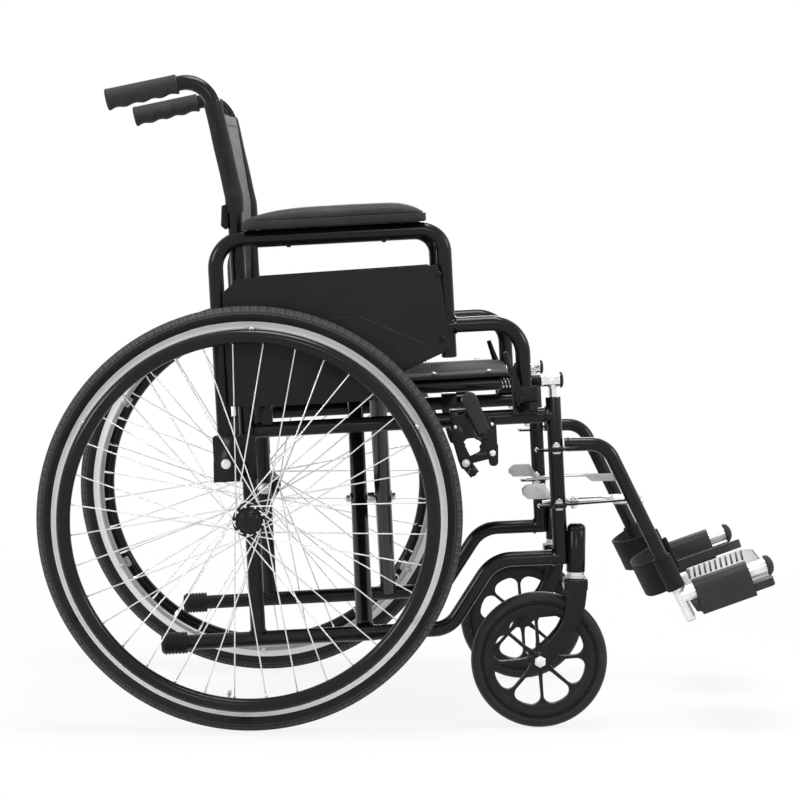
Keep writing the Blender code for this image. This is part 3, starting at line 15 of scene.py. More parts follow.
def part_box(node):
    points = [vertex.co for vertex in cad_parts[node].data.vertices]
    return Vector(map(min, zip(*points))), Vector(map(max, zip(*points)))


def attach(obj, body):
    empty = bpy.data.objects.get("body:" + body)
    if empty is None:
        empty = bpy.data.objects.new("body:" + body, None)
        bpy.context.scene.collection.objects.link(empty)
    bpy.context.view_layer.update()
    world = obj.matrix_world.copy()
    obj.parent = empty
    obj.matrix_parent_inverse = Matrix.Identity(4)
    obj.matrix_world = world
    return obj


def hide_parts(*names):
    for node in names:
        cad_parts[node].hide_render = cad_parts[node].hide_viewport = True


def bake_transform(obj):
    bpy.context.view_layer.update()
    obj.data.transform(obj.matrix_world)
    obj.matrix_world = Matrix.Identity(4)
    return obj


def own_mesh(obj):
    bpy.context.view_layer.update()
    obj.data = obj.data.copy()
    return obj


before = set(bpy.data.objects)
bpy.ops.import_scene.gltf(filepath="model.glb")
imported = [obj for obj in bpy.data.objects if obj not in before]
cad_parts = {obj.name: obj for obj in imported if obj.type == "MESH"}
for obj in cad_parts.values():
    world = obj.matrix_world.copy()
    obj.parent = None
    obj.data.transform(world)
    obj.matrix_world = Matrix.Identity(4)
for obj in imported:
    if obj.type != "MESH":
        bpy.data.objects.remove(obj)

bl_info = {
    "name": "Folding wheelchair looks",
    "version": (1, 0, 0),
    "blender": (4, 5, 0),
    "location": "3D View > Sidebar > Wheelchair",
    "description": "Builds the visible pieces of a folding wheelchair on its packed model",
    "category": "Object",
}

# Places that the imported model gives: the rear axle and the wheel's radius
TYRE_LOW, TYRE_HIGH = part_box("right_rear_tyre")
AXLE_X = (TYRE_LOW[0] + TYRE_HIGH[0]) / 2.0
WHEEL_R = TYRE_HIGH[2] / 2.0
TILT = math.radians(3.8)
AXLE_V = 0.181
FRAME_Y = 0.2275
TUBE_R = 0.011
FULL_TURN = 2.0 * math.pi
ORIGIN = Vector((0.0, 0.0, 0.0))
U_DIR = Vector((math.cos(TILT), 0.0, math.sin(TILT)))
V_DIR = Vector((-math.sin(TILT), 0.0, math.cos(TILT)))
X_DIR = Vector((1.0, 0.0, 0.0))
Y_DIR = Vector((0.0, 1.0, 0.0))
Z_DIR = Vector((0.0, 0.0, 1.0))
SIDES = (("right", -1), ("left", 1))


def at(u, v, y=0.0):
    """World point for frame coordinates u, v and y."""
    dv = v - AXLE_V
    return Vector((AXLE_X + u * math.cos(TILT) - dv * math.sin(TILT), y,
                   WHEEL_R + u * math.sin(TILT) + dv * math.cos(TILT)))


def frame_place(point):
    """Frame coordinates u and v of a world point."""
    from_axle = point - Vector((AXLE_X, point.y, WHEEL_R))
    return from_axle.dot(U_DIR), AXLE_V + from_axle.dot(V_DIR)


def ahead(x, z, y=0.0):
    """World point for x measured from the rear axle and z from the floor."""
    return Vector((AXLE_X + x, y, z))


# ---- shapes


def cross_axes(axis):
    """Two unit directions square to axis."""
    axis = axis.normalized()
    first = Y_DIR - axis * axis.dot(Y_DIR)
    if first.length < 0.1:
        first = X_DIR - axis * axis.dot(X_DIR)
    first.normalize()
    return first, axis.cross(first)


def turns(count, shift=0.0):
    """Even angles all the way round."""
    return [FULL_TURN * (k + shift) / count for k in range(count)]


def turned_to(angle, a, b, radius=1.0):
    """Offset of the given length, at an angle from direction a towards b."""
    return a * (radius * math.cos(angle)) + b * (radius * math.sin(angle))


def circle(centre, a, b, radius, sides, shift=0.0):
    return [centre + turned_to(angle, a, b, radius) for angle in turns(sides, shift)]


def mirrored(half):
    """Section from one half of it: (along, radius) points up to the one on its middle."""
    return half + [(-a, r) for a, r in half[-2::-1]]


def corner_arc(before, corner, after, radius, steps):
    """Points of the arc that rounds one corner; steps may depend on the turn."""
    back = (before - corner).normalized()
    onward = (after - corner).normalized()
    turn = math.pi - back.angle(onward)
    if turn < 0.02 or radius <= 0.0:
        return [corner]
    start = corner + back * (radius * math.tan(turn / 2.0))
    centre = corner + (back + onward).normalized() * (radius / math.cos(turn / 2.0))
    axis = back.cross(onward).normalized()
    count = steps(turn) if callable(steps) else steps
    return [centre + Matrix.Rotation(-turn * k / count, 3, axis) @ (start - centre)
            for k in range(count + 1)]


def bent_path(corners, radii, bend_step=math.radians(7.5)):
    """Points along a path whose inner corners are rounded to the given radii."""
    points = [corners[0]]
    for i, radius in zip(range(1, len(corners) - 1), radii):
        points += corner_arc(corners[i - 1], corners[i], corners[i + 1], radius,
                             lambda turn: max(3, math.ceil(turn / bend_step)))
    return points + [corners[-1]]


def rounded(outline, radius, steps=5):
    """Two-number outline with every corner rounded."""
    flat = [Vector((a, b, 0.0)) for a, b in outline]
    radii = radius if isinstance(radius, list) else [radius] * len(flat)
    points = []
    for i, corner in enumerate(flat):
        points += corner_arc(flat[i - 1], corner, flat[(i + 1) % len(flat)], radii[i], steps)
    return [(p.x, p.y) for p in points]


class Form:
    """A mesh in the making: every method adds one closed shell to it."""

    def __init__(self):
        self.bm = bmesh.new()

    def rings(self, rings, closed=False):
        """Skin through rings with equal point counts; a ring of one point ends in a tip."""
        loops = [[self.bm.verts.new(p) for p in ring] for ring in rings]
        pairs = list(zip(loops, loops[1:]))
        if closed:
            pairs.append((loops[-1], loops[0]))
        for low, high in pairs:
            count = max(len(low), len(high))
            for i in range(count):
                j = (i + 1) % count
                if len(low) == 1:
                    self.bm.faces.new((low[0], high[i], high[j]))
                elif len(high) == 1:
                    self.bm.faces.new((low[i], high[0], low[j]))
                else:
                    self.bm.faces.new((low[i], high[i], high[j], low[j]))
        if not closed:
            for loop in (loops[0], loops[-1]):
                if len(loop) > 2:
                    self.bm.faces.new(loop)
        return self

    def sweep(self, points, radius, sides=20):
        """Round tube along a path, without twist; radius is one number or a list of them."""
        a = None
        rings = []
        for i, point in enumerate(points):
            onward = points[min(i + 1, len(points) - 1)] - point
            behind = point - points[max(i - 1, 0)]
            head = (onward.normalized() + behind.normalized()).normalized()
            if a is None:
                a, b = cross_axes(head)
            else:
                a = (a - head * a.dot(head)).normalized()
                b = head.cross(a)
            rings.append(circle(point, a, b, radius[i] if isinstance(radius, list) else radius, sides))
        return self.rings(rings)

    def tube(self, corners, bends, radius=TUBE_R, sides=28):
        return self.sweep(bent_path(corners, bends), radius, sides)

    def rod(self, start, end, radius, sides=20, edge=0.0):
        """Straight round bar, its end edges broken by edge."""
        length = (end - start).length
        profile = [(0.0, radius), (length, radius)]
        if edge > 0.0:
            end_edge = [(0.0, radius - edge), (edge * 0.3, radius - edge * 0.3), (edge, radius)]
            profile = end_edge + [(length - a, r) for a, r in end_edge[::-1]]
        return self.turned(start, end - start, profile, sides)

    def turned(self, origin, axis, profile, sides=28, shift=0.0):
        """Turned body: profile is a list of (distance along axis, radius)."""
        axis = axis.normalized()
        a, b = cross_axes(axis)
        rings = []
        for along, radius in profile:
            centre = origin + axis * along
            rings.append([centre] if radius < 1e-7 else circle(centre, a, b, radius, sides, shift))
        return self.rings(rings)

    def disc(self, origin, axis, radius, thick, sides=28):
        """Flat round disc whose lower face is centred on the origin."""
        return self.turned(origin, axis, [(0.0, radius), (thick, radius), (thick, 0.0)], sides)

    def hoop(self, origin, axis, section, sides=120):
        """Body of revolution with an open middle: section is a closed list of (along, radius)."""
        axis = axis.normalized()
        a, b = cross_axes(axis)
        rings = []
        for i, angle in enumerate(turns(sides)):
            out = turned_to(angle, a, b)
            points = section(i) if callable(section) else section
            rings.append([origin + axis * along + out * radius for along, radius in points])
        return self.rings(rings, True)

    def slab(self, outline, offset):
        """Flat outline of world points pushed out by the offset vector."""
        return self.rings([outline, [p + offset for p in outline]])

    def plate(self, outline, y_from, y_to):
        """Upright plate: outline in frame coordinates."""
        return self.slab([at(u, v, y_from) for u, v in outline], Y_DIR * (y_to - y_from))

    def block(self, u0, u1, v0, v1, y0, y1, radius=0.0):
        outline = [(u0, v0), (u1, v0), (u1, v1), (u0, v1)]
        return self.plate(rounded(outline, radius) if radius > 0.0 else outline, y0, y1)

    def weld(self, centre, axis, radius, bead=0.0022, sides=24):
        """Weld bead round a tube where it meets another."""
        a, b = cross_axes(axis)
        rings = []
        for angle in turns(sides):
            out = turned_to(angle, a, b)
            swell = bead * (1.0 + 0.12 * math.sin(9.0 * angle))
            rings.append(circle(centre + out * radius, out, axis, swell, 6))
        return self.rings(rings, True)

    def grid(self, rows):
        """Open sheet of four-sided faces through rows of points."""
        rows = [[self.bm.verts.new(p) for p in row] for row in rows]
        sheet_faces(self.bm, rows)
        return rows

    def made(self, name):
        """The bare object, its faces looking outwards."""
        bmesh.ops.recalc_face_normals(self.bm, faces=self.bm.faces)
        return mesh_piece(self.bm, name)

    def piece(self, name, finish, body, slot=None, stands_for=(), sharp=34.0, edge=0.0, segments=2):
        """The finished object, riding on its body."""
        return settle(self.made(name), finish, body, slot, stands_for, sharp, edge, segments)


class Part:
    """A sub-part: its pieces share a body, and the first one stands for its node."""

    def __init__(self, side, slot, body, begun=False):
        self.side = side
        self.slot = side + slot
        self.body = side + body
        self.nodes = () if begun else (self.slot,)

    def place(self):
        nodes, self.nodes = self.nodes, ()
        return self.body, self.slot, nodes

    def add(self, tail, form, finish, **edges):
        return form.piece(self.side + tail, finish, *self.place(), **edges)

    def settle(self, ob, finish, **edges):
        return settle(ob, finish, *self.place(), **edges)

    def wires(self, tail, lines, radius, finish):
        return wires(self.side + tail, lines, radius, finish, *self.place())

    def repeats(self, tail, places, shape, finish, size=1.0):
        return repeats(self.side + tail, places, shape, finish, self.body, self.slot, size)


def sheet_faces(bm, rows):
    """Four-sided faces between rows of vertices."""
    for low, high in zip(rows, rows[1:]):
        for k in range(len(low) - 1):
            bm.faces.new((low[k], low[k + 1], high[k + 1], high[k]))


def mesh_piece(bm, name):
    for face in bm.faces:
        face.smooth = True
    data = bpy.data.meshes.new(name)
    bm.to_mesh(data)
    bm.free()
    return linked(name, data)


def linked(name, data):
    ob = bpy.data.objects.new(name, data)
    bpy.context.scene.collection.objects.link(ob)
    return ob


def settle(ob, finish, body, slot=None, stands_for=(), sharp=34.0, edge=0.0, segments=2):
    """Finish, edges, body and the nodes a piece stands for; slot is not used."""
    ob.data.materials.clear()
    ob.data.materials.append(FINISHES[finish])
    if edge > 0.0:
        modified(ob, "edges", 'BEVEL', width=edge, segments=segments, limit_method='ANGLE',
                 angle_limit=math.radians(sharp), harden_normals=True)
    ob.data.set_sharp_from_angle(angle=math.radians(sharp))
    if body:
        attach(ob, body)
    if stands_for:
        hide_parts(*stands_for)
    return ob


def modified(ob, name, kind, **settings):
    """Adds one modifier with its settings and applies it."""
    step = ob.modifiers.new(name, kind)
    for key, value in settings.items():
        setattr(step, key, value)
    apply_modifiers(ob)
    return ob


def apply_modifiers(ob):
    graph = bpy.context.evaluated_depsgraph_get()
    data = bpy.data.meshes.new_from_object(ob.evaluated_get(graph), depsgraph=graph)
    ob.modifiers.clear()
    old = ob.data
    ob.data = data
    bpy.data.meshes.remove(old)


def smoothed(ob):
    for face in ob.data.polygons:
        face.use_smooth = True
    return ob


PUFF_FRAMES = 20


def puffed(ob, held, cap, pressure=4.0):
    """Blows a padded form up with a cloth simulation: held points stay and none moves past cap."""
    start = [p.co.copy() for p in ob.data.vertices]
    group = ob.vertex_groups.new(name="held")
    group.add([p.index for p in ob.data.vertices if held(p.co)], 1.0, 'REPLACE')
    cloth = ob.modifiers.new("puff", 'CLOTH')
    cloth.settings.vertex_group_mass = group.name
    cloth.settings.use_pressure = True
    cloth.settings.uniform_pressure_force = pressure
    cloth.settings.effector_weights.gravity = 0.0
    cloth.point_cache.frame_end = PUFF_FRAMES
    for number in range(1, PUFF_FRAMES + 1):
        bpy.context.scene.frame_set(number)
    apply_modifiers(ob)
    bpy.context.scene.frame_set(1)
    ob.vertex_groups.clear()
    for p, old in zip(ob.data.vertices, start):
        move = p.co - old
        if move.length > cap:
            p.co = old + move * (cap / move.length)


def carved(ob, tool):
    """Cuts the tool object out of ob and uses it up."""
    modified(ob, "cut", 'BOOLEAN', solver='EXACT', operation='DIFFERENCE', object=tool)
    bpy.data.objects.remove(tool, do_unlink=True)
    return ob


def copied(node, name, finish, body, edge=0.0005, sharp=32.0):
    """A merged copy of a CAD node with broken edges, standing for it."""
    bm = bmesh.new()
    bm.from_mesh(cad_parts[node].data)
    bm.transform(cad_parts[node].matrix_world)
    bmesh.ops.remove_doubles(bm, verts=bm.verts, dist=2e-5)
    bmesh.ops.dissolve_limit(bm, angle_limit=math.radians(0.8), verts=bm.verts, edges=bm.edges)
    return settle(mesh_piece(bm, name), finish, body, node, (node,), sharp, edge)


# ---- finishes


def add_node(tree, kind, settings, sockets):
    """A new node: its settings, then its sockets, each a value or an output to link."""
    node = tree.nodes.new(kind)
    for key, value in settings.items():
        setattr(node, key, value)
    for key, value in sockets.items():
        if isinstance(value, bpy.types.NodeSocket):
            tree.links.new(value, node.inputs[key])
        else:
            node.inputs[key].default_value = value
    return node


class Value:
    """A shader socket in an expression: arithmetic on it adds Math nodes."""

    def __init__(self, finish, socket):
        self.finish = finish
        self.socket = socket

    def math(self, operation, *others):
        return self.finish.node("ShaderNodeMath", {"operation": operation}, (self, *others))

    def __add__(self, other):
        return self.math('ADD', other)

    __radd__ = __add__

    def __sub__(self, other):
        return self.math('SUBTRACT', other)

    def __rsub__(self, other):
        return self.finish.node("ShaderNodeMath", {"operation": 'SUBTRACT'}, (other, self))

    def __mul__(self, other):
        return self.math('MULTIPLY', other)

    __rmul__ = __mul__

    def __truediv__(self, other):
        return self.math('DIVIDE', other)

    def __pow__(self, other):
        return self.math('POWER', other)

    def size(self):
        return self.math('ABSOLUTE')

    def sine(self):
        return self.math('SINE')

    def above(self, low, high):
        """0 below low, 1 above high, and smooth between."""
        return self.finish.node("ShaderNodeMapRange", {"interpolation_type": 'SMOOTHSTEP'},
                                {"Value": self, "From Min": low, "From Max": high})


class Finish:
    """A procedural material in the making, on object coordinates."""

    def __init__(self, name, colour, roughness, metallic=0.0, **plain):
        self.material = bpy.data.materials.new(name)
        self.material.use_nodes = True
        self.tree = self.material.node_tree
        self.shader = self.tree.nodes["Principled BSDF"]
        self.colour = (*colour, 1.0)
        self.shader.inputs["Base Color"].default_value = self.colour
        self.shader.inputs["Roughness"].default_value = roughness
        self.shader.inputs["Metallic"].default_value = metallic
        for key, value in plain.items():
            self.shader.inputs[key.replace("_", " ")].default_value = value
        self.place = self.node("ShaderNodeTexCoord", {}, {}, "Object")

    def node(self, kind, settings, sockets, output=0):
        """Output of a new node; its sockets are given by name or in order."""
        items = sockets.items() if isinstance(sockets, dict) else enumerate(sockets)
        bare = {key: value.socket if isinstance(value, Value) else value for key, value in items}
        return Value(self, add_node(self.tree, kind, settings, bare).outputs[output])

    def noise(self, scale, detail=2.0, rough=0.5, place=None):
        return self.node("ShaderNodeTexNoise", {}, {"Vector": place or self.place, "Scale": scale,
                                                    "Detail": detail, "Roughness": rough}, "Fac")

    def cells(self, scale, feature='DISTANCE_TO_EDGE', place=None):
        return self.node("ShaderNodeTexVoronoi", {"feature": feature},
                         {"Vector": place or self.place, "Scale": scale}, "Distance")

    def axes(self, place=None):
        split = self.tree.nodes.new("ShaderNodeSeparateXYZ")
        self.tree.links.new((place or self.place).socket, split.inputs[0])
        return [Value(self, s) for s in split.outputs]

    def round_axle(self):
        """Distance ahead of the rear axle, over it and out from it."""
        x, _, z = self.axes()
        ahead_of_it, over_it = x - AXLE_X, z - WHEEL_R
        return ahead_of_it, over_it, (ahead_of_it * ahead_of_it + over_it * over_it) ** 0.5

    def stretched(self, scale):
        """Object coordinates scaled by axis."""
        return self.node("ShaderNodeMapping", {}, {"Vector": self.place, "Scale": scale})

    def mix(self, share, first, second):
        """Colour that goes from first to second as share goes from 0 to 1."""
        first, second = ((*c, 1.0) if isinstance(c, tuple) else c for c in (first, second))
        return self.node("ShaderNodeMix", {"data_type": 'RGBA'}, {0: share, 6: first, 7: second}, 2)

    def bump(self, height, depth, normal=None):
        sockets = {"Height": height, "Distance": depth, "Strength": 1.0}
        if normal is not None:
            sockets["Normal"] = normal
        return self.node("ShaderNodeBump", {}, sockets)

    def feed(self, **values):
        for key, value in values.items():
            self.tree.links.new(value.socket, self.shader.inputs[key.replace("_", " ")])
        return self.material


WEAVE_PITCH = 0.0011
TREAD_BARS = 148.0


def grey(level):
    return (level, level, level)


def lighter(colour, times, add=0.0):
    return tuple(c * times + add for c in colour)


DUST_GREY = grey(0.09)
RIM_GRIME = (0.5, 0.5, 0.49)
# Painted shade for the rim where it turns in towards the hub
RIM_WELL_SHADE_GREY = grey(0.16)
TREAD_GREY = grey(0.082)
# Painted shade in the tread's grooves
TREAD_GAP_SHADE_GREY = grey(0.028)
RAISED_LINE_GREY = grey(0.085)


def gloss_paint(name, colour):
    """Sprayed gloss black: faint orange peel, dust specks and rubbed patches."""
    f = Finish(name, colour, 0.2, Specular_IOR_Level=0.22)
    rubbed = f.noise(9.0, 4.0, 0.6).above(0.45, 0.8)
    specks = f.noise(900.0, 1.0).above(0.74, 0.8)
    peel = f.noise(420.0, 2.0)
    worn = f.mix(rubbed, colour, lighter(colour, 2.4))
    return f.feed(Base_Color=f.mix(specks * 0.5, worn, DUST_GREY),
                  Roughness=0.17 + rubbed * 0.10 + specks * 0.15, Normal=f.bump(peel, 0.00006))


def bright_metal(name, colour, roughness, grain=0.06, mottle=0.0, metallic=1.0):
    """Plated or turned metal: fine scratches and a faint mottle."""
    f = Finish(name, colour, roughness, metallic)
    scratches = f.noise(240.0, 5.0, 0.7, f.stretched((1.0, 6.0, 1.0)))
    clouds = f.noise(38.0, 3.0, 0.6)
    return f.feed(Base_Color=f.mix(clouds.above(0.35, 0.75), colour, lighter(colour, 0.78 - mottle)),
                  Roughness=roughness + scratches * grain + clouds * mottle * 0.3,
                  Normal=f.bump(scratches, 0.00002))


def rim_alloy(name, colour):
    """Pale satin alloy with painted shade where the rim turns in, and fine rings left by its turning.
    """
    f = Finish(name, colour, 0.34, 0.12)
    # Painted shade: the part of the rim that turns in towards the hub is coloured a darker grey
    well_shade = 1.0 - f.round_axle()[2].above(WHEEL_R - 0.0322, WHEEL_R - 0.0310)
    rings = f.noise(700.0, 2.0, 0.5, f.stretched((1.0, 0.05, 1.0)))
    grime = f.noise(30.0, 5.0, 0.65).above(0.55, 0.85)
    face = f.mix(grime * 0.2, colour, RIM_GRIME)
    return f.feed(Base_Color=f.mix(well_shade * 0.75, face, RIM_WELL_SHADE_GREY),
                  Roughness=0.27 + rings * 0.1 + grime * 0.16, Normal=f.bump(rings, 0.00003))


def moulded(name, colour, roughness, grain=0.00005, scale=1500.0, lift=1.8):
    """Moulded plastic or rubber: a fine even grain with a little dust in it."""
    f = Finish(name, colour, roughness, Specular_IOR_Level=0.2)
    pits = f.noise(scale, 2.0, 0.6)
    dust = f.noise(24.0, 6.0, 0.7).above(0.48, 0.82)
    return f.feed(Base_Color=f.mix(dust, colour, lighter(colour, lift, 0.004)),
                  Roughness=roughness + pits * 0.08 + dust * 0.08, Normal=f.bump(pits, grain))


def tyre_rubber(name, colour):
    """Tyre rubber: a dust-grey tread whose grooves carry painted shade, one raised line and a smooth
    dark wall.
    """
    f = Finish(name, colour, 0.72, Specular_IOR_Level=0.2)
    ahead_of_hub, over_hub, out = f.round_axle()
    angle = over_hub.math('ARCTAN2', ahead_of_hub)
    tread = out.above(WHEEL_R - 0.0085, WHEEL_R - 0.0072)
    line = 1.0 - (out - (WHEEL_R - 0.0108)).size().above(0.0002, 0.0008)
    # Painted shade: the tread is coloured darker in the grooves between its blocks; its lighter grey
    # is dust
    bars = (angle * TREAD_BARS).sine().above(0.25, 0.9)
    gap_shade = bars + (angle * (3.0 * TREAD_BARS)).sine().above(0.3, 0.9) * 0.5
    patchy = f.noise(170.0, 3.0, 0.6).above(0.3, 0.7)
    dust = f.noise(60.0, 6.0, 0.72).above(0.42, 0.8)
    dust_and_gap_shade = f.mix(gap_shade * (0.35 + patchy * 0.4), TREAD_GREY, TREAD_GAP_SHADE_GREY)
    wall = f.mix(dust * 0.6, colour, lighter(colour, 2.0, 0.004))
    wall = f.mix(line * 0.8, wall, RAISED_LINE_GREY)
    return f.feed(Base_Color=f.mix(tread, wall, dust_and_gap_shade), Roughness=0.55 + tread * 0.25 + dust * 0.1,
                  Normal=f.bump(f.noise(1300.0, 2.0) + tread * patchy, 0.00008))


def grained_vinyl(name, colour):
    """Black vinyl with leather grain and worn, shinier high spots."""
    f = Finish(name, colour, 0.45, Specular_IOR_Level=0.3)
    grain = f.cells(620.0).above(0.0, 0.18)
    fine = f.noise(2100.0, 2.0)
    worn = f.noise(14.0, 3.0, 0.6).above(0.4, 0.75)
    return f.feed(Base_Color=f.mix(worn, colour, lighter(colour, 1.9)),
                  Roughness=0.52 - worn * 0.12 - grain * 0.06,
                  Normal=f.bump(grain + fine * 0.3, 0.00016))


def woven(name, colour, across, along, pitch, sheen=0.25):
    """Coated woven nylon: a plain weave over two object axes, given by number."""
    f = Finish(name, colour, 0.8, Sheen_Weight=sheen, Sheen_Roughness=0.45, Specular_IOR_Level=0.2)
    axes = f.axes()
    a = axes[across] * (math.pi / pitch)
    b = axes[along] * (math.pi / pitch)
    over = (a.sine() * b.sine()).above(-0.25, 0.25)
    warp = (a + math.pi / 2.0).sine().size()
    weft = (b + math.pi / 2.0).sine().size()
    height = over * weft + (1.0 - over) * warp
    fuzz = f.noise(38.0, 5.0, 0.65).above(0.35, 0.8)
    weave = f.mix(height, lighter(colour, 0.5), colour)
    return f.feed(Base_Color=f.mix(fuzz * 0.6, weave, lighter(colour, 2.3, 0.004)),
                  Roughness=0.85 - height * 0.25, Normal=f.bump(height + fuzz * 0.2, 0.00022))


def webbing(name, colour):
    """Strap webbing: ribs along its length, on the strap's own UV map."""
    f = Finish(name, colour, 0.8, Sheen_Weight=0.1, Specular_IOR_Level=0.15)
    uv = f.node("ShaderNodeUVMap", {"uv_map": "strap"}, {})
    u, v = f.axes(uv)[:2]
    ribs = (v * 1900.0).sine() * 0.5 + 0.5
    picks = (u * 2600.0 + ribs * 1.6).sine() * 0.5 + 0.5
    fuzz = f.noise(60.0, 4.0, 0.6).above(0.4, 0.8)
    worn = fuzz * 0.5 + ribs * picks * 0.3
    return f.feed(Base_Color=f.mix(worn, colour, lighter(colour, 1.8, 0.002)),
                  Roughness=0.9 - ribs * 0.2, Normal=f.bump(ribs * 0.7 + picks * 0.3, 0.00008))


FINISHES = {}


def make_finishes(looks):
    paint, plastic, cloth = tuple(looks.paint), tuple(looks.plastic), tuple(looks.cloth)
    FINISHES.update({
        "paint": gloss_paint("gloss_black_paint", paint),
        "chrome": bright_metal("bright_chrome", tuple(looks.chrome), 0.07),
        "zinc": bright_metal("zinc_plate", tuple(looks.zinc), 0.24, 0.12, 0.12),
        "bright": bright_metal("bright_zinc", (0.93, 0.93, 0.94), 0.20, 0.10, 0.03, 0.45),
        "plated": bright_metal("satin_chrome", (0.95, 0.95, 0.96), 0.16, 0.05, 0.0, 0.45),
        "wing": bright_metal("stamped_zinc", grey(0.56), 0.42, 0.06, 0.02, 0.3),
        "tread": moulded("footplate_tread", grey(0.42), 0.4, 0.00006, 900.0, 1.15),
        "dome": moulded("dome_grey", (0.030, 0.030, 0.031), 0.5, 0.00004, 900.0, 1.4),
        "strap_cloth": woven("strap_sleeve", (0.008, 0.008, 0.0083), 0, 2, WEAVE_PITCH, 0.05),
        "alloy": rim_alloy("satin_alloy_rim", tuple(looks.alloy)),
        "tyre": tyre_rubber("tyre_rubber", tuple(looks.tyre)),
        "caster_tyre": moulded("caster_tyre_rubber", grey(0.019), 0.4, 0.00003),
        "grip": moulded("grip_rubber", grey(0.030), 0.55, 0.00006, 1100.0),
        "cap": moulded("cap_rubber", grey(0.010), 0.42, 0.00003),
        "panel": moulded("panel_plastic", plastic, 0.36, 0.00004, 1700.0, 1.4),
        "plastic": moulded("moulded_black", plastic, 0.40, 0.00003),
        "lever": moulded("lever_grey", (0.028, 0.028, 0.029), 0.46, 0.00006, 900.0),
        "plate": moulded("footplate_grey", (0.034, 0.034, 0.035), 0.55, 0.00012, 620.0, 1.5),
        "wheel": moulded("caster_wheel_black", (0.012, 0.012, 0.013), 0.33, 0.00003),
        "coating": gloss_paint("handrim_coating", (0.006, 0.006, 0.0065)),
        "vinyl": grained_vinyl("grained_black_vinyl", (0.011, 0.011, 0.012)),
        "seat_cloth": woven("seat_nylon", lighter(cloth, 0.3), 0, 1, WEAVE_PITCH, 0.04),
        "sleeve_cloth": woven("back_sleeve_nylon", (0.012, 0.012, 0.0125), 1, 2, WEAVE_PITCH, 0.08),
        "back_cloth": woven("back_nylon", cloth, 1, 2, WEAVE_PITCH, 0.38),
        # Binding in a lighter grey than the black vinyl and panel it edges: a painted highlight along
        # its line
        "piping_highlight": moulded("edge_binding_highlight", grey(0.040), 0.5, 0.0001, 1400.0),
        "thread": moulded("sewing_thread", (0.035, 0.035, 0.036), 0.6, 0.00004, 3000.0),
        "webbing": webbing("strap_webbing", grey(0.008)),
    })


# ---- geometry node trees for what repeats


def new_tree(name, inputs):
    """Geometry node tree with named inputs after its geometry, and a way to add and link nodes."""
    tree = bpy.data.node_groups.new(name, "GeometryNodeTree")
    tree.interface.new_socket("Geometry", in_out='INPUT', socket_type="NodeSocketGeometry")
    for label, kind, default in inputs:
        socket = tree.interface.new_socket(label, in_out='INPUT', socket_type=kind)
        if default is not None:
            socket.default_value = default
    tree.interface.new_socket("Geometry", in_out='OUTPUT', socket_type="NodeSocketGeometry")

    def add(kind, settings=None, **sockets):
        named = {key.replace("_", " "): value for key, value in sockets.items()}
        return add_node(tree, kind, settings or {}, named)

    return tree, add, tree.nodes.new("NodeGroupInput")


def dressed(tree, add, given, last):
    """The tree with its last two steps: what it grew made real and given its material."""
    real = add("GeometryNodeRealizeInstances", Geometry=last.outputs[0])
    coat = add("GeometryNodeSetMaterial", Geometry=real.outputs[0], Material=given.outputs["Material"])
    tree.links.new(coat.outputs[0], tree.nodes.new("NodeGroupOutput").inputs[0])
    return tree


def wires_tree():
    """Round wires along the object's edges, such as spokes and stitches."""
    tree, add, given = new_tree("wires", [("Radius", "NodeSocketFloat", 0.001),
                                          ("Sides", "NodeSocketInt", 8),
                                          ("Material", "NodeSocketMaterial", None)])
    curve = add("GeometryNodeMeshToCurve", Mesh=given.outputs["Geometry"])
    ring = add("GeometryNodeCurvePrimitiveCircle", Resolution=given.outputs["Sides"],
               Radius=given.outputs["Radius"])
    skin = add("GeometryNodeCurveToMesh", Curve=curve.outputs[0], Profile_Curve=ring.outputs["Curve"],
               Fill_Caps=True)
    return dressed(tree, add, given, skin)


def repeats_tree():
    """One shape on every vertex, turned by the vertex's own Euler angles."""
    tree, add, given = new_tree("repeats", [("Shape", "NodeSocketObject", None),
                                            ("Size", "NodeSocketFloat", 1.0),
                                            ("Material", "NodeSocketMaterial", None)])
    shape = add("GeometryNodeObjectInfo", {"transform_space": 'ORIGINAL'},
                Object=given.outputs["Shape"])
    turn = add("GeometryNodeInputNamedAttribute", {"data_type": 'FLOAT_VECTOR'}, Name="turn")
    spin = add("FunctionNodeEulerToRotation", Euler=turn.outputs[0])
    copies = add("GeometryNodeInstanceOnPoints", Points=given.outputs["Geometry"],
                 Instance=shape.outputs["Geometry"], Rotation=spin.outputs[0],
                 Scale=given.outputs["Size"])
    return dressed(tree, add, given, copies)


TREES = {}


def grown(name, data, tree, finish, values):
    """Object whose mesh is the baked result of a tree on the given mesh."""
    if tree not in TREES:
        TREES[tree] = {"wires": wires_tree, "repeats": repeats_tree}[tree]()
    group = TREES[tree]
    ob = linked(name, data)
    step = ob.modifiers.new("grow", 'NODES')
    step.node_group = group
    by_name = {s.name: s.identifier for s in group.interface.items_tree if s.in_out == 'INPUT'}
    step[by_name["Material"]] = FINISHES[finish]
    for key, value in values.items():
        step[by_name[key]] = value
    apply_modifiers(ob)
    return smoothed(ob)


def wires(name, lines, radius, finish, body, slot, stands_for=(), sides=8):
    """Wires along lists of points."""
    data = bpy.data.meshes.new(name)
    points = [p for line in lines for p in line]
    edges = []
    start = 0
    for line in lines:
        edges += [(i, i + 1) for i in range(start, start + len(line) - 1)]
        start += len(line)
    data.from_pydata(points, edges, [])
    ob = grown(name, data, "wires", finish, {"Radius": radius, "Sides": sides})
    return settle(ob, finish, body, slot, stands_for, 50.0)


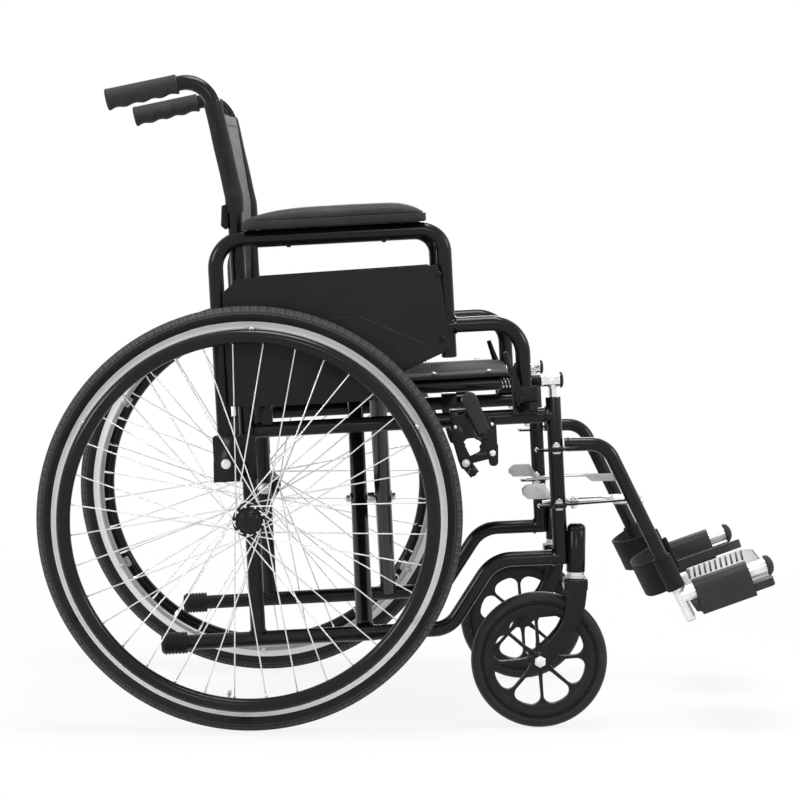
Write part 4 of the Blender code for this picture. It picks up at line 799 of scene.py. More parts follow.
def repeats(name, places, shape, finish, body, slot, size=1.0):
    """Copies of a shape whose axis is Z, at (point, axis) or (point, axis, spin) places."""
    data = bpy.data.meshes.new(name)
    data.from_pydata([p[0] for p in places], [], [])
    turns = data.attributes.new("turn", 'FLOAT_VECTOR', 'POINT')
    for i, place in enumerate(places):
        axis = place[1].normalized()
        spin = place[2] if len(place) > 2 else 0.0
        turn = axis.to_track_quat('Z', 'Y').to_matrix() @ Matrix.Rotation(spin, 3, 'Z')
        turns.data[i].vector = turn.to_euler()
    ob = grown(name, data, "repeats", finish, {"Shape": SHAPES[shape], "Size": size})
    return settle(ob, finish, body, slot, (), 40.0)


SHAPES = {}
SHAPE_PROFILES = {
    "dome": (20, [(0.0, 1.0), (0.25, 0.97), (0.48, 0.80), (0.62, 0.48), (0.68, 0.0)]),
    "screw": (20, [(0.0, 1.0), (0.12, 1.0), (0.42, 0.82), (0.60, 0.50), (0.60, 0.42), (0.30, 0.30),
                   (0.28, 0.0)]),
    "nipple": (8, [(-0.0005, 0.0021), (0.0100, 0.0019), (0.0118, 0.0014), (0.0118, 0.0)]),
    "spoke_head": (10, [(0.0, 0.0020), (0.0006, 0.0022), (0.0014, 0.0016), (0.0016, 0.0)]),
}


def make_shapes():
    """Small fasteners, each with its seat at the origin and its axis along Z."""
    forms = {name: Form().turned(ORIGIN, Z_DIR, profile, sides)
             for name, (sides, profile) in SHAPE_PROFILES.items()}
    hexagon = [circle(Z_DIR * z, X_DIR, Y_DIR, r, 6)
               for z, r in ((0.0, 0.92), (0.08, 1.0), (0.77, 1.0), (0.85, 0.888))]
    forms["nut"] = Form().rings(hexagon).turned(ORIGIN, Z_DIR, [
        (0.80, 0.55), (1.05, 0.55), (1.15, 0.45), (1.15, 0.0)], 16).turned(ORIGIN, Z_DIR, [
            (-0.05, 1.25), (0.12, 1.25), (0.12, 0.5)], 24)
    for name, form in forms.items():
        SHAPES[name] = form.made("shape_" + name)
        bpy.context.scene.collection.objects.unlink(SHAPES[name])


# ---- wheels


WHEEL_Y = 0.2895
HANDRIM_Y = 0.3235
HANDRIM_R = 0.2628
HANDRIM_TABS = 6
TYRE_DRAWN_R = 0.305
HUB_HALF = 0.0255
HUB_HOLE_R = 0.0205
RIM_WELL_R = 0.2665
SPOKE_PHASE = math.radians(6.0)
SPOKE_LEAN = math.radians(80.0)


def round_point(centre, angle, radius, y):
    """Point at an angle from +X towards +Z round a centre, moved across by y."""
    return centre + turned_to(angle, X_DIR, Z_DIR, radius) + Y_DIR * y


def on_axle(y):
    return at(0.0, AXLE_V, y)


def rear_tyre(side, sg, sizes):
    flank = [(-0.0105, 0.2834), (-0.0128, 0.2850), (-0.0152, 0.2882), (-0.0160, 0.2915),
             (-0.0158, 0.2934), (-0.0161, 0.2942), (-0.0155, 0.2952)]
    tread = [(-0.0146, 0.2966), (-0.0133, 0.2988), (-0.0105, 0.3013), (-0.0072, 0.3032),
             (-0.0046, 0.3041)]
    crown = [(-0.0042, 0.3034), (-0.0022, 0.3036), (-0.0018, 0.3047), (0.0, 0.3050)]

    def section(i):
        drop = 0.0 if i % 2 == 0 else sizes.tread_depth * (2.2 if i % 6 == 1 else 1.0)
        half = flank + [(a, r - drop) for a, r in tread] + crown
        return mirrored([(a, r * WHEEL_R / TYRE_DRAWN_R) for a, r in half])

    tyre = Form().hoop(on_axle(sg * WHEEL_Y), Y_DIR, section, 2 * sizes.tread_blocks)
    Part(side, "_rear_tyre", "_wheel").add("_tyre", tyre, "tyre")


def rear_rim(side, sg):
    centre = on_axle(sg * WHEEL_Y)
    section = mirrored([(-0.0104, 0.2829), (-0.0112, 0.2829), (-0.0112, 0.2812), (-0.0106, 0.2804),
                        (-0.0104, 0.2722), (-0.0108, 0.2714), (-0.0104, 0.2704), (-0.0086, 0.2688),
                        (-0.0050, 0.2670), (0.0, RIM_WELL_R)])
    Part(side, "_rear_rim", "_wheel").add("_rim", Form().hoop(centre, Y_DIR, section, 180), "alloy",
                                          sharp=40.0)
    foot = round_point(centre, math.radians(-96.0), RIM_WELL_R + 0.001, 0.0)
    valve = Form().turned(foot, centre - foot, [
        (0.0, 0.0024), (0.012, 0.0024), (0.012, 0.0031), (0.0185, 0.0031), (0.0195, 0.0026),
        (0.0195, 0.0)], 14).disc(foot, centre - foot, 0.0042, 0.0018, 6)
    Part(side, "_rear_tyre", "_wheel", True).add("_valve", valve, "zinc", edge=0.0002)


def rear_spokes(side, sg, sizes):
    """Crossed spokes: the outer face's run backwards round the hub, the inner face's forwards."""
    centre = on_axle(sg * WHEEL_Y)
    step = FULL_TURN / sizes.spokes_a_side
    lines, heads, nipples = [], [], []
    for flange in (-1, 1):
        flange_y = sg * flange * (HUB_HALF - 0.0058)
        for j in range(sizes.spokes_a_side):
            turn = -1.0 if j % 2 == 0 else 1.0
            hub_angle = SPOKE_PHASE + j * step + (0.0 if flange > 0 else step / 2.0)
            face = -0.0030 * sg * flange * turn
            through = round_point(centre, hub_angle, HUB_HOLE_R, flange_y - face * 0.6)
            start = round_point(centre, hub_angle, HUB_HOLE_R, flange_y + face)
            end = round_point(centre, hub_angle + turn * SPOKE_LEAN, RIM_WELL_R - 0.0005,
                              sg * flange * 0.0035)
            toward = (end - start).normalized()
            lines.append([through, start + toward * 0.0006, start + toward * 0.003, end])
            heads.append((through, Y_DIR * -face))
            nipples.append((end, -toward))
    spokes = Part(side, "_rear_spokes", "_wheel")
    spokes.wires("_spokes", lines, sizes.spoke_radius, "plated")
    spokes.repeats("_spoke_heads", heads, "spoke_head", "chrome", 1.05)
    spokes.repeats("_nipples", nipples, "nipple", "chrome")


def hub(side, sg):
    centre = on_axle(sg * WHEEL_Y)
    h = HUB_HALF
    out = Y_DIR * sg
    shell = Form().turned(centre, out, [
        (-h, 0.0), (-h, 0.0090), (-h + 0.0006, 0.0118), (-h + 0.0040, 0.0125), (-h + 0.0044, 0.0233),
        (-h + 0.0050, 0.0240), (-h + 0.0070, 0.0240), (-h + 0.0076, 0.0233), (-h + 0.0082, 0.0150),
        (-h + 0.0130, 0.0118), (0.0, 0.0112), (h - 0.0130, 0.0118), (h - 0.0082, 0.0150),
        (h - 0.0076, 0.0233), (h - 0.0070, 0.0240), (h - 0.0046, 0.0240), (h - 0.0040, 0.0233),
        (h - 0.0036, 0.0168), (h - 0.0006, 0.0164), (h, 0.0150), (h, 0.0)], 48)
    cap = Form().turned(centre + out * (h - 0.0002), out, [
        (0.0, 0.0), (0.0, 0.0146), (0.0012, 0.0152), (0.0022, 0.0146), (0.0024, 0.0136),
        (0.0036, 0.0130), (0.0052, 0.0108), (0.0060, 0.0070), (0.0062, 0.0)], 48)
    turning = Part(side, "_rear_spokes", "_wheel", True)
    turning.add("_hub", shell, "coating")
    turning.add("_hub_cap", cap, "coating")
    axle = Form().turned(on_axle(sg * (FRAME_Y - 0.0105)), -out, [
        (0.0, 0.0095), (0.0012, 0.0100), (0.0012, 0.0085), (0.0075, 0.0080), (0.0088, 0.0060),
        (0.0088, 0.0)], 6)
    axle.turned(on_axle(sg * (FRAME_Y + 0.0102)), out, [
        (0.0, 0.0088), (0.0020, 0.0092), (0.0020, 0.0078), (0.0255, 0.0078), (0.0255, 0.0)], 24)
    axle.disc(on_axle(sg * (FRAME_Y - 0.012)), out, 0.0058, 0.0560, 24)
    Part(side, "_rear_axle", "_frame").add("_axle", axle, "zinc", edge=0.0003)


def handrim(side, sg, sizes):
    tube = sizes.handrim_tube
    section = [(tube * math.sin(t), HANDRIM_R + tube * math.cos(t)) for t in turns(24)]
    ring = Form().hoop(on_axle(sg * HANDRIM_Y), Y_DIR, section, 180)
    tabs = Form()
    bolts = []
    face = sg * (WHEEL_Y + 0.0112)
    spots = [(0.2760, face), (0.2690, face), (0.2650, face + sg * 0.0012),
             (0.2618, face + sg * 0.0050), (0.2600, face + sg * 0.0120),
             (0.2600, sg * (HANDRIM_Y - 0.0050))]
    for angle in turns(HANDRIM_TABS, 0.5):
        out = turned_to(angle, X_DIR, Z_DIR)
        across = turned_to(angle, Z_DIR, -X_DIR)
        rings = []
        for i, (radius, y) in enumerate(spots):
            half = across * (0.0085 if i < 4 else 0.0070)
            here = on_axle(y) + out * radius
            normal = Y_DIR * sg
            if i > 0:
                inward, beyond = radius - spots[i - 1][0], y - spots[i - 1][1]
                normal = (out * beyond - Y_DIR * inward).normalized()
            thick = normal * 0.0026
            rings.append([here - half, here + half, here + half + thick, here - half + thick])
        tabs.rings(rings)
        bolts.append((on_axle(face + sg * 0.0024) + out * 0.2722, Y_DIR * sg))
    part = Part(side, "_handrim", "_wheel")
    part.add("_handrim_ring", ring, "coating")
    part.add("_handrim_tabs", tabs, "alloy", edge=0.0003)
    part.repeats("_handrim_bolts", bolts, "screw", "plated", 0.0036)
    nuts = [(p - axis * 0.0258, -axis) for p, axis in bolts]
    part.repeats("_handrim_nuts", nuts, "dome", "zinc", 0.0034)


CASTER_R = 0.0995
CASTER_AHEAD = 0.4215
CASTER_TURN = math.radians(5.5)
PETALS = 8
STEM_AHEAD = 0.4725
HOUSING_LOW_Z = 0.2285
HOUSING_HEIGHT = 0.0595


def caster(side, sg):
    """Caster tyre, the moulded wheel with its eight petal windows, and the bolt."""
    centre = ahead(CASTER_AHEAD, CASTER_R, sg * FRAME_Y)
    tread = Form().hoop(centre, Y_DIR, mirrored([
        (-0.0108, 0.0858), (-0.0120, 0.0862), (-0.0136, 0.0880), (-0.0141, 0.0905),
        (-0.0134, 0.0938), (-0.0112, 0.0966), (-0.0070, 0.0987), (0.0, 0.0995)]), 144)
    Part(side, "_caster_tyre", "_caster_roller").add("_caster_tread", tread, "caster_tyre")

    half = [(-0.0177, 0.0), (-0.0177, 0.0128), (-0.0172, 0.0140), (-0.0120, 0.0148),
            (-0.0070, 0.0156), (-0.0062, 0.0180), (-0.0062, 0.0600), (-0.0068, 0.0684),
            (-0.0086, 0.0712), (-0.0102, 0.0735), (-0.0110, 0.0765), (-0.0110, 0.0812),
            (-0.0103, 0.0820), (-0.0094, 0.0824), (-0.0094, 0.0836), (-0.0103, 0.0841),
            (-0.0110, 0.0846), (-0.0110, 0.0857)]
    disc = Form().turned(centre, Y_DIR, half + [(-a, r) for a, r in half[::-1]], 144).made(
        side + "_caster_wheel_disc")
    plan = [(0.0172, 0.160), (0.0270, 0.300), (0.0430, 0.340), (0.0605, 0.358), (0.0680, 0.200)]
    plan = [(r, -t) for r, t in plan] + [(0.0687, 0.0)] + plan[::-1]
    bends = [0.0026, 0.008, 0.02, 0.0120, 0.012]
    bends += [0.03] + bends[::-1]
    petals = Form()
    marks = []
    for middle in turns(PETALS, 0.5):
        middle += CASTER_TURN
        flat = rounded([(r * math.cos(middle + t), r * math.sin(middle + t)) for r, t in plan], bends)
        petals.slab([centre + Vector((a, -0.03, b)) for a, b in flat], Y_DIR * 0.06)
        mark = middle - FULL_TURN / PETALS / 2.0 + 0.14
        marks.append((round_point(centre, mark, 0.0715, sg * 0.0088), Y_DIR * sg))
    wheel = Part(side, "_caster_wheel", "_caster_roller")
    wheel.settle(carved(disc, petals.made("petals")), "wheel", sharp=30.0, edge=0.0011, segments=3)
    wheel.repeats("_caster_marks", marks, "dome", "wheel", 0.0021)

    washers = Form()
    heads = {sg: Form(), -sg: Form()}
    for hand in (-1, 1):
        washers.turned(centre + Y_DIR * (hand * 0.0230), Y_DIR * hand, [
            (0.0, 0.0138), (0.0008, 0.0144), (0.0012, 0.0138), (0.0012, 0.0)], 36)
        heads[hand].rings([circle(centre + Y_DIR * (hand * w), X_DIR, Z_DIR, radius, 6, 0.5)
                           for w, radius in ((0.0243, 0.0088), (0.0278, 0.0088), (0.0286, 0.0079))])
    heads[sg].turned(centre - Y_DIR * 0.024, Y_DIR, [(0.0, 0.0038), (0.048, 0.0038)], 16)
    axle = Part(side, "_caster_axle", "_caster")
    axle.add("_caster_bolt", heads[sg], "bright", edge=0.00025)
    axle.add("_caster_nut", heads[-sg], "paint", edge=0.00025)
    axle.add("_caster_washers", washers, "paint", edge=0.0002)


def caster_fork(side, sg):
    """Bent blades that grow out of a rounded crown, and the stem's bearing above it."""
    y = sg * FRAME_Y
    sx, hx, low = STEM_AHEAD, CASTER_AHEAD, HOUSING_LOW_Z
    top = low - 0.0120
    eye = [(hx + 0.0140 * math.cos(t), CASTER_R + 0.0140 * math.sin(t))
           for t in (math.radians(138.0 + 15.0 * k) for k in range(13))]
    rear = [(-0.0160, top), (-0.0158, 0.1840), (-0.0180, 0.1600), (-0.0262, 0.1441),
            (-0.0364, 0.1318), (-0.0482, 0.1205)]
    front = [(-0.0170, 0.1190), (-0.0040, 0.1376), (0.0062, 0.1574), (0.0128, 0.1772),
             (0.0150, 0.1960), (0.0160, top)]
    outline = [(sx + a, z) for a, z in rear] + eye + [(hx + 0.0225, 0.1003)]
    outline += [(sx + a, z) for a, z in front]
    bends = [0.0045, 0.05, 0.05, 0.05, 0.05, 0.03] + [0.0] * len(eye)
    bends += [0.03, 0.05, 0.05, 0.05, 0.06, 0.06, 0.0045]
    outline = rounded(outline, bends, 6)
    blades = Form()
    for hand in (-1, 1):
        blades.slab([ahead(px, pz, y + hand * 0.0178) for px, pz in outline], Y_DIR * (hand * 0.0052))
    fork = Part(side, "_caster_fork", "_caster")
    fork.add("_fork", blades, "paint", sharp=38.0, edge=0.0014, segments=3)
    section = rounded([(-0.0233, low - 0.0240), (-0.0233, low - 0.0085), (0.0233, low - 0.0085),
                       (0.0233, low - 0.0240), (0.0170, low - 0.0262), (-0.0170, low - 0.0262)],
                      [0.002, 0.0065, 0.0065, 0.002, 0.002, 0.002])
    crown = Form().slab([ahead(sx - 0.0175, z, y + w) for w, z in section], X_DIR * 0.0342)
    fork.add("_fork_crown", crown, "paint", sharp=50.0, edge=0.0022, segments=3)
    race = Form().turned(ahead(sx, low, y), Z_DIR, [
        (-0.0090, 0.0), (-0.0090, 0.0150), (-0.0060, 0.0146), (-0.0048, 0.0128), (-0.0004, 0.0126),
        (-0.0003, 0.0060), (HOUSING_HEIGHT, 0.0058), (HOUSING_HEIGHT, 0.0)], 36)
    fork.add("_fork_race", race, "bright")
    fork.repeats("_fork_dot", [(ahead(sx + 0.0003, 0.1864, y + sg * 0.0228), Y_DIR * sg)], "dome",
                 "paint", 0.0022)


# ---- frames, seat rails and braces


RAIL_V = 0.354
SIDE_RAIL_V = 0.304
UPRIGHT_U = 0.446
UPRIGHT_LOW_V = 0.096
UPRIGHT_TOP_V = 0.330
LUG_LEVELS = (0.171, 0.2528)
LUG_T = 0.003
BRACE_R = 0.0125
HINGE_Y = 0.2495
PLATE_Y = 0.2370
CATCH_U = 0.4415
CATCH_V = 0.1752
ARM_PIVOT = (-0.031, 0.260)
CANE = ((0.0, 0.643), (-0.0296, 0.817), (-0.1729, 0.7925))


def side_frame(side, sg):
    y = sg * FRAME_Y
    out = Y_DIR * sg

    def p(u, v):
        return at(u, v, y)

    tubes = Form()
    tubes.tube([p(0, 0), *(p(*corner) for corner in CANE)], [0.12, 0.040])
    tubes.tube([p(-0.136, 0), p(0.2785, 0), p(0.3478, 0.097), p(UPRIGHT_U, UPRIGHT_LOW_V)],
               [0.042, 0.052])
    tubes.rod(p(0, SIDE_RAIL_V), p(UPRIGHT_U, SIDE_RAIL_V), TUBE_R, 28)
    tubes.rod(p(UPRIGHT_U, UPRIGHT_LOW_V - 0.010), p(UPRIGHT_U, UPRIGHT_TOP_V), TUBE_R, 28, 0.0008)
    housing = [(0.0, 0.0), (0.0, 0.0128), (0.0007, 0.0137), (0.0050, 0.0137), (0.0053, 0.0133),
               (0.0061, 0.0133), (0.0065, 0.0137)]
    housing += [(HOUSING_HEIGHT + a, r) for a, r in (
        (0.0, 0.0137), (0.0006, 0.0132), (0.0018, 0.0132), (0.0024, 0.0136), (0.0050, 0.0134),
        (0.0082, 0.0120), (0.0104, 0.0092), (0.0118, 0.0050), (0.0124, 0.0))]
    tubes.turned(ahead(STEM_AHEAD, HOUSING_LOW_Z, y), Z_DIR, housing, 36)
    tubes.weld(p(0, TUBE_R), V_DIR, TUBE_R)
    for u, v in ((TUBE_R, SIDE_RAIL_V), (UPRIGHT_U - TUBE_R, SIDE_RAIL_V),
                 (UPRIGHT_U - TUBE_R, UPRIGHT_LOW_V)):
        tubes.weld(p(u, v), U_DIR, TUBE_R)
    part = Part(side, "_side_frame", "_frame")
    part.add("_frame_tubes", tubes, "paint", sharp=40.0)
    part.add("_frame_plates", frame_plates(sg, y, out), "paint", edge=0.0006)

    rolls = Form()
    for level in LUG_LEVELS:
        rolls.hoop(at(UPRIGHT_U - 0.0275, level + 0.0012, sg * 0.2228), out, [
            (0.0, 0.0017), (0.0, 0.0029), (0.0094, 0.0029), (0.0094, 0.0017)], 24)
    part.add("_lug_rolls", rolls, "zinc", edge=0.0002)

    inner_y = sg * (FRAME_Y - 0.0150)
    catch = Form().rod(at(0.4240, CATCH_V, inner_y), at(0.4620, CATCH_V, inner_y), 0.0034)
    catch.rod(at(CATCH_U, 0.1600, inner_y), at(CATCH_U, 0.1860, inner_y), 0.0024)
    catch.turned(at(0.4560, CATCH_V, inner_y), U_DIR, [
        (0.0, 0.0), (0.0, 0.0048), (0.0040, 0.0048), (0.0040, 0.0)], 24)
    part.add("_catch_pin", catch, "zinc", edge=0.0002)
    part.repeats("_catch_nuts", [(at(CATCH_U, 0.1790, inner_y), V_DIR, 0.2),
                                 (at(CATCH_U, 0.1700, inner_y), -V_DIR, 0.4),
                                 (at(CATCH_U, 0.1640, inner_y), -V_DIR, 0.1)], "nut", "bright", 0.0050)
    part.repeats("_rail_bolt", [(p(0.4065, SIDE_RAIL_V - 0.0112), -V_DIR, 0.2)], "nut", "bright",
                 0.0040)
    part.repeats("_pivot_nut", [(at(*ARM_PIVOT, sg * 0.2669), out, 0.3)], "nut", "bright", 0.0056)
    part.repeats("_frame_nuts", [(at(UPRIGHT_U, level + 0.0057, sg * HINGE_Y), V_DIR)
                                 for level in LUG_LEVELS], "nut", "zinc", 0.0054)
    part.repeats("_hinge_domes", [(at(UPRIGHT_U, level - 0.0018, sg * HINGE_Y), -V_DIR)
                                  for level in LUG_LEVELS], "dome", "zinc", 0.0060)
    pins = Form()
    for level in LUG_LEVELS:
        pins.rod(at(UPRIGHT_U, level - 0.002, sg * HINGE_Y),
                 at(UPRIGHT_U, level + 0.010, sg * HINGE_Y), 0.0032)
    pins.rod(at(*ARM_PIVOT, sg * 0.2380), at(*ARM_PIVOT, sg * 0.2670), 0.0034)
    part.add("_hinge_pins", pins, "zinc")


def frame_plates(sg, y, out):
    """Hinge lugs on the upright, the armrest's pivot bracket and the rest for the seat rail."""
    plates = Form()
    for level in LUG_LEVELS:
        outline = rounded([(UPRIGHT_U + a, w) for a, w in (
            (-0.028, 0.2225), (-0.028, 0.2325), (-0.010, 0.2440), (-0.008, 0.2570), (0.008, 0.2570),
            (0.0118, 0.2420), (0.0118, 0.2150), (-0.0120, 0.2150))],
            [0.003, 0.003, 0.004, 0.0055, 0.0055, 0.004, 0.008, 0.008], 4)
        plates.slab([at(u, level - LUG_T / 2.0, sg * w) for u, w in outline], V_DIR * LUG_T)
    plates.block(-0.0500, 0.012, 0.232, 0.300, sg * PLATE_Y, sg * (PLATE_Y + 0.0044), 0.005)
    plates.plate(rounded([(-0.0448, 0.3000), (-0.0448, 0.2740), (-0.0488, 0.2630), (-0.0500, 0.2335),
                          (-0.0170, 0.2390), (-0.0090, 0.2320), (-0.0090, 0.3000)],
                         [0.005, 0.004, 0.004, 0.002, 0.004, 0.002, 0.005]), sg * 0.2645, sg * 0.2667)
    plates.disc(at(*ARM_PIVOT, sg * 0.2664), out, 0.0076, 0.0005, 32)
    plates.block(-0.0125, -0.0096, 0.2326, 0.2994, sg * (PLATE_Y + 0.001), sg * 0.2655)
    for hand in (-1, 1):
        plates.block(0.022, 0.038, 0.312, 0.352, y + hand * 0.0105, y + hand * 0.0138, 0.002)
    plates.block(0.022, 0.038, 0.312, 0.3430, y - 0.0120, y + 0.0120)
    return plates


def tipping_cap(side, sg):
    """Rubber cap on the rail's end, ribbed all round its upper half."""
    profile = [(0.0, 0.0), (0.0, 0.0118), (0.0008, 0.0132), (0.0028, 0.0146)]
    along = 0.0045
    while along < 0.030:
        profile += [(along, 0.0160), (along + 0.0026, 0.0160), (along + 0.0030, 0.0148),
                    (along + 0.0046, 0.0148)]
        along += 0.0050
    profile += [(0.0340, 0.0158), (0.0366, 0.0156), (0.0374, 0.0148), (0.0374, 0.0112)]
    cap = Form().turned(at(-0.141, 0.0, sg * FRAME_Y), U_DIR, profile, 40)
    Part(side, "_tipping_cap", "_frame").add("_tipping_rubber", cap, "cap", sharp=28.0)


GRIP_STATIONS = 150
GRIP_RING_PITCH = 0.0029
GRIP_FINGERS = 4


def hand_grip(side, sg):
    """Grip with fine rings round it and four finger scallops below."""
    corner, end = (at(*place, sg * FRAME_Y) for place in CANE[1:])
    along = (end - corner).normalized()
    start = corner + along * 0.0434
    length = (end - start).length + 0.0035
    down = (-Z_DIR + along * along.z).normalized()
    rings = []
    for k in range(GRIP_STATIONS + 1):
        share = k / GRIP_STATIONS
        place = share * length
        left = length - place
        radius = 0.0140 + 0.0016 * share
        if place < 0.0018:
            radius -= 0.0010 * (1.0 - place / 0.0018)
        if left < 0.0030:
            radius -= 0.0036 * (1.0 - math.sqrt(max(0.0, 1.0 - (1.0 - left / 0.0030) ** 2)))
        if 0.0050 < place < length - 0.0050:
            radius -= 0.00055 * (0.5 + 0.5 * math.cos(FULL_TURN * place / GRIP_RING_PITCH))
        scallop = 0.0024 * (0.5 - 0.5 * math.cos(FULL_TURN * GRIP_FINGERS * share))
        rings.append([start + along * place
                      + turned_to(t, down, Y_DIR, radius + (0.0012 - scallop) * max(0.0, math.cos(t)))
                      for t in turns(32)])
    Part(side, "_hand_grip", "_frame").add("_grip", Form().rings(rings), "grip", sharp=60.0)


def brace(name, low_sg, u):
    """Brace tube with its foot sleeve and the seat rail welded to its top."""
    rail_y = -low_sg * FRAME_Y
    foot = at(u, 0.0, low_sg * FRAME_Y)
    top = at(u, RAIL_V, rail_y)
    along = (top - foot).normalized()
    form = Form().rod(foot + along * 0.009, top - along * 0.004, BRACE_R, 32)
    form.hoop(foot, U_DIR, [(-0.018, 0.0082), (-0.018, 0.0110), (-0.0174, 0.0116), (0.0174, 0.0116),
                            (0.018, 0.0110), (0.018, 0.0082)], 32)
    form.turned(at(0.0125, RAIL_V, rail_y), U_DIR, [
        (0.0, 0.0), (0.0, 0.0086), (0.0008, 0.0098), (0.0012, 0.0100), (0.3580, 0.0100),
        (0.3585, 0.0094), (0.3585, 0.0)], 28)
    form.weld(foot + along * 0.0115, along, 0.0118)
    form.weld(top - along * 0.0110, along, 0.0115)
    form.piece(name + "_tubes", "paint", name, name, (name,), sharp=40.0)
    Form().turned(at(0.0105, RAIL_V, rail_y), -U_DIR, [
        (-0.0020, 0.0102), (0.0, 0.0102), (0.0018, 0.0085), (0.0024, 0.0)], 24).piece(
            name + "_rail_cap", "cap", name, name)


def brace_bolt():
    mid = at(0.0, RAIL_V / 2.0, 0.0)
    form = Form().rod(mid + U_DIR * 0.134, mid + U_DIR * 0.210, 0.0034, 16)
    for washer_u, hand in ((0.1426, -1), (0.2044, 1)):
        form.disc(mid + U_DIR * washer_u, U_DIR * hand, 0.0090, 0.0014)
        form.turned(mid + U_DIR * (washer_u + hand * 0.0014), U_DIR * hand, [
            (0.0, 0.0060), (0.0050, 0.0062), (0.0056, 0.0054), (0.0056, 0.0)], 6)
    form.turned(mid + U_DIR * 0.1680, U_DIR, [(0.0, 0.0082), (0.0110, 0.0082)], 24)
    form.piece("brace_pivot_bolt", "zinc", "brace_a", "brace_bolt", ("brace_bolt",), edge=0.0002)


SPRING_U = (0.3712, 0.4152)
SPRING_COILS = 9
SPRING_R = 0.0065
SPRING_WIRE_R = 0.0009
STEM_R = 0.00575


def seat_rail_guide(side, sg):
    """Slide rod with its collar, T sleeve, dome cap and the stem inside the upright."""
    y = sg * FRAME_Y
    rail = at(0.0, RAIL_V, y)
    part = Part(side, "_seat_rail_guide", "_guide")
    part.add("_slide_collar", Form().turned(rail, U_DIR, [
        (0.3020, 0.0), (0.3020, 0.0043), (0.4150, 0.0043), (0.4150, 0.0082), (0.4160, 0.0088),
        (0.4285, 0.0088), (0.4292, 0.0080), (0.4292, 0.0)], 32), "cap")
    sleeve = Form().turned(rail, U_DIR, [
        (0.4292, 0.0), (0.4292, 0.0088), (0.4302, 0.0095), (0.4340, 0.0095), (0.4348, 0.0091),
        (0.4545, 0.0091), (0.4552, 0.0095), (0.4568, 0.0095), (0.4574, 0.0088), (0.4574, 0.0)], 40)
    sleeve.rod(at(UPRIGHT_U, RAIL_V - 0.004, y), at(UPRIGHT_U, 0.108, y), STEM_R, 24)
    sleeve.weld(at(UPRIGHT_U, RAIL_V - 0.0098, y), V_DIR, 0.0058, 0.0014)
    part.add("_tee_sleeve", sleeve, "chrome")
    part.add("_tee_cap", Form().turned(rail, U_DIR, [
        (0.4572, 0.0), (0.4572, 0.0112), (0.4580, 0.0117), (0.4592, 0.0116), (0.4608, 0.0100),
        (0.4620, 0.0070), (0.4626, 0.0)], 36), "cap")

    start, end = SPRING_U
    a, b = cross_axes(U_DIR)
    steps = SPRING_COILS * 16
    points = []
    for k in range(steps + 1):
        points.append(at(start + (end - start) * k / steps, RAIL_V, y)
                      + turned_to(FULL_TURN * k / 16, a, b, SPRING_R))
    Part(side, "_seat_rail_spring", "_guide").add(
        "_rail_spring", Form().sweep(points, SPRING_WIRE_R, 8), "chrome", sharp=60.0)


# ---- armrests


ARM_Y = 0.253
ARM_TOP_V = 0.582
ARM_LOW_V = 0.442
ARM_REAR_U = -0.031
ARM_FRONT_U = 0.298
SOCKET_U = 0.404
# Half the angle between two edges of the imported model's tube, whose flat side the panel meets
TUBE_FACET = math.pi / 10.0
PAD_Y = 0.267
PAD_U = 0.012
PAD_LENGTH = 0.2625
PAD_HALF = 0.0250
PAD_BASE_V = 0.5933
PAD_SEAM_V = 0.6048
PAD_RISE = 0.0178
PAD_VOXEL = 0.0035
PANEL_T = 0.0025


def armrest_frame(side, sg):
    def p(u, v):
        return at(u, v, sg * ARM_Y)

    tubes = Form()
    tubes.tube([p(ARM_REAR_U, 0.250), p(ARM_REAR_U, ARM_TOP_V), p(ARM_FRONT_U, ARM_TOP_V),
                p(ARM_FRONT_U, 0.398)], [0.042, 0.034])
    tubes.tube([p(ARM_FRONT_U, ARM_LOW_V), p(SOCKET_U, ARM_LOW_V), p(SOCKET_U, 0.311)], [0.045])
    tubes.weld(p(ARM_FRONT_U + TUBE_R, ARM_LOW_V), U_DIR, TUBE_R)
    tubes.turned(p(ARM_FRONT_U, 0.3985), -V_DIR, [
        (0.0, 0.0112), (0.0016, 0.0108), (0.0028, 0.0080), (0.0030, 0.0)])
    Part(side, "_armrest_frame", "_armrest").add("_armrest_tubes", tubes, "paint", sharp=40.0)


def quarter(share):
    """Height of a quarter circle at a share of its run, from 0 to 1."""
    return math.sqrt(max(0.0, 1.0 - (1.0 - min(1.0, max(0.0, share))) ** 2))


def eased(k, count):
    """Share from 0 to 1 that starts and ends slowly."""
    return 0.5 - 0.5 * math.cos(math.pi * k / count)


def pad_width(along):
    """Half width of the pad, rounded off at both ends."""
    ends = quarter(along / 0.026) * quarter((PAD_LENGTH - along) / 0.040)
    return PAD_HALF * (0.22 + 0.78 * ends)


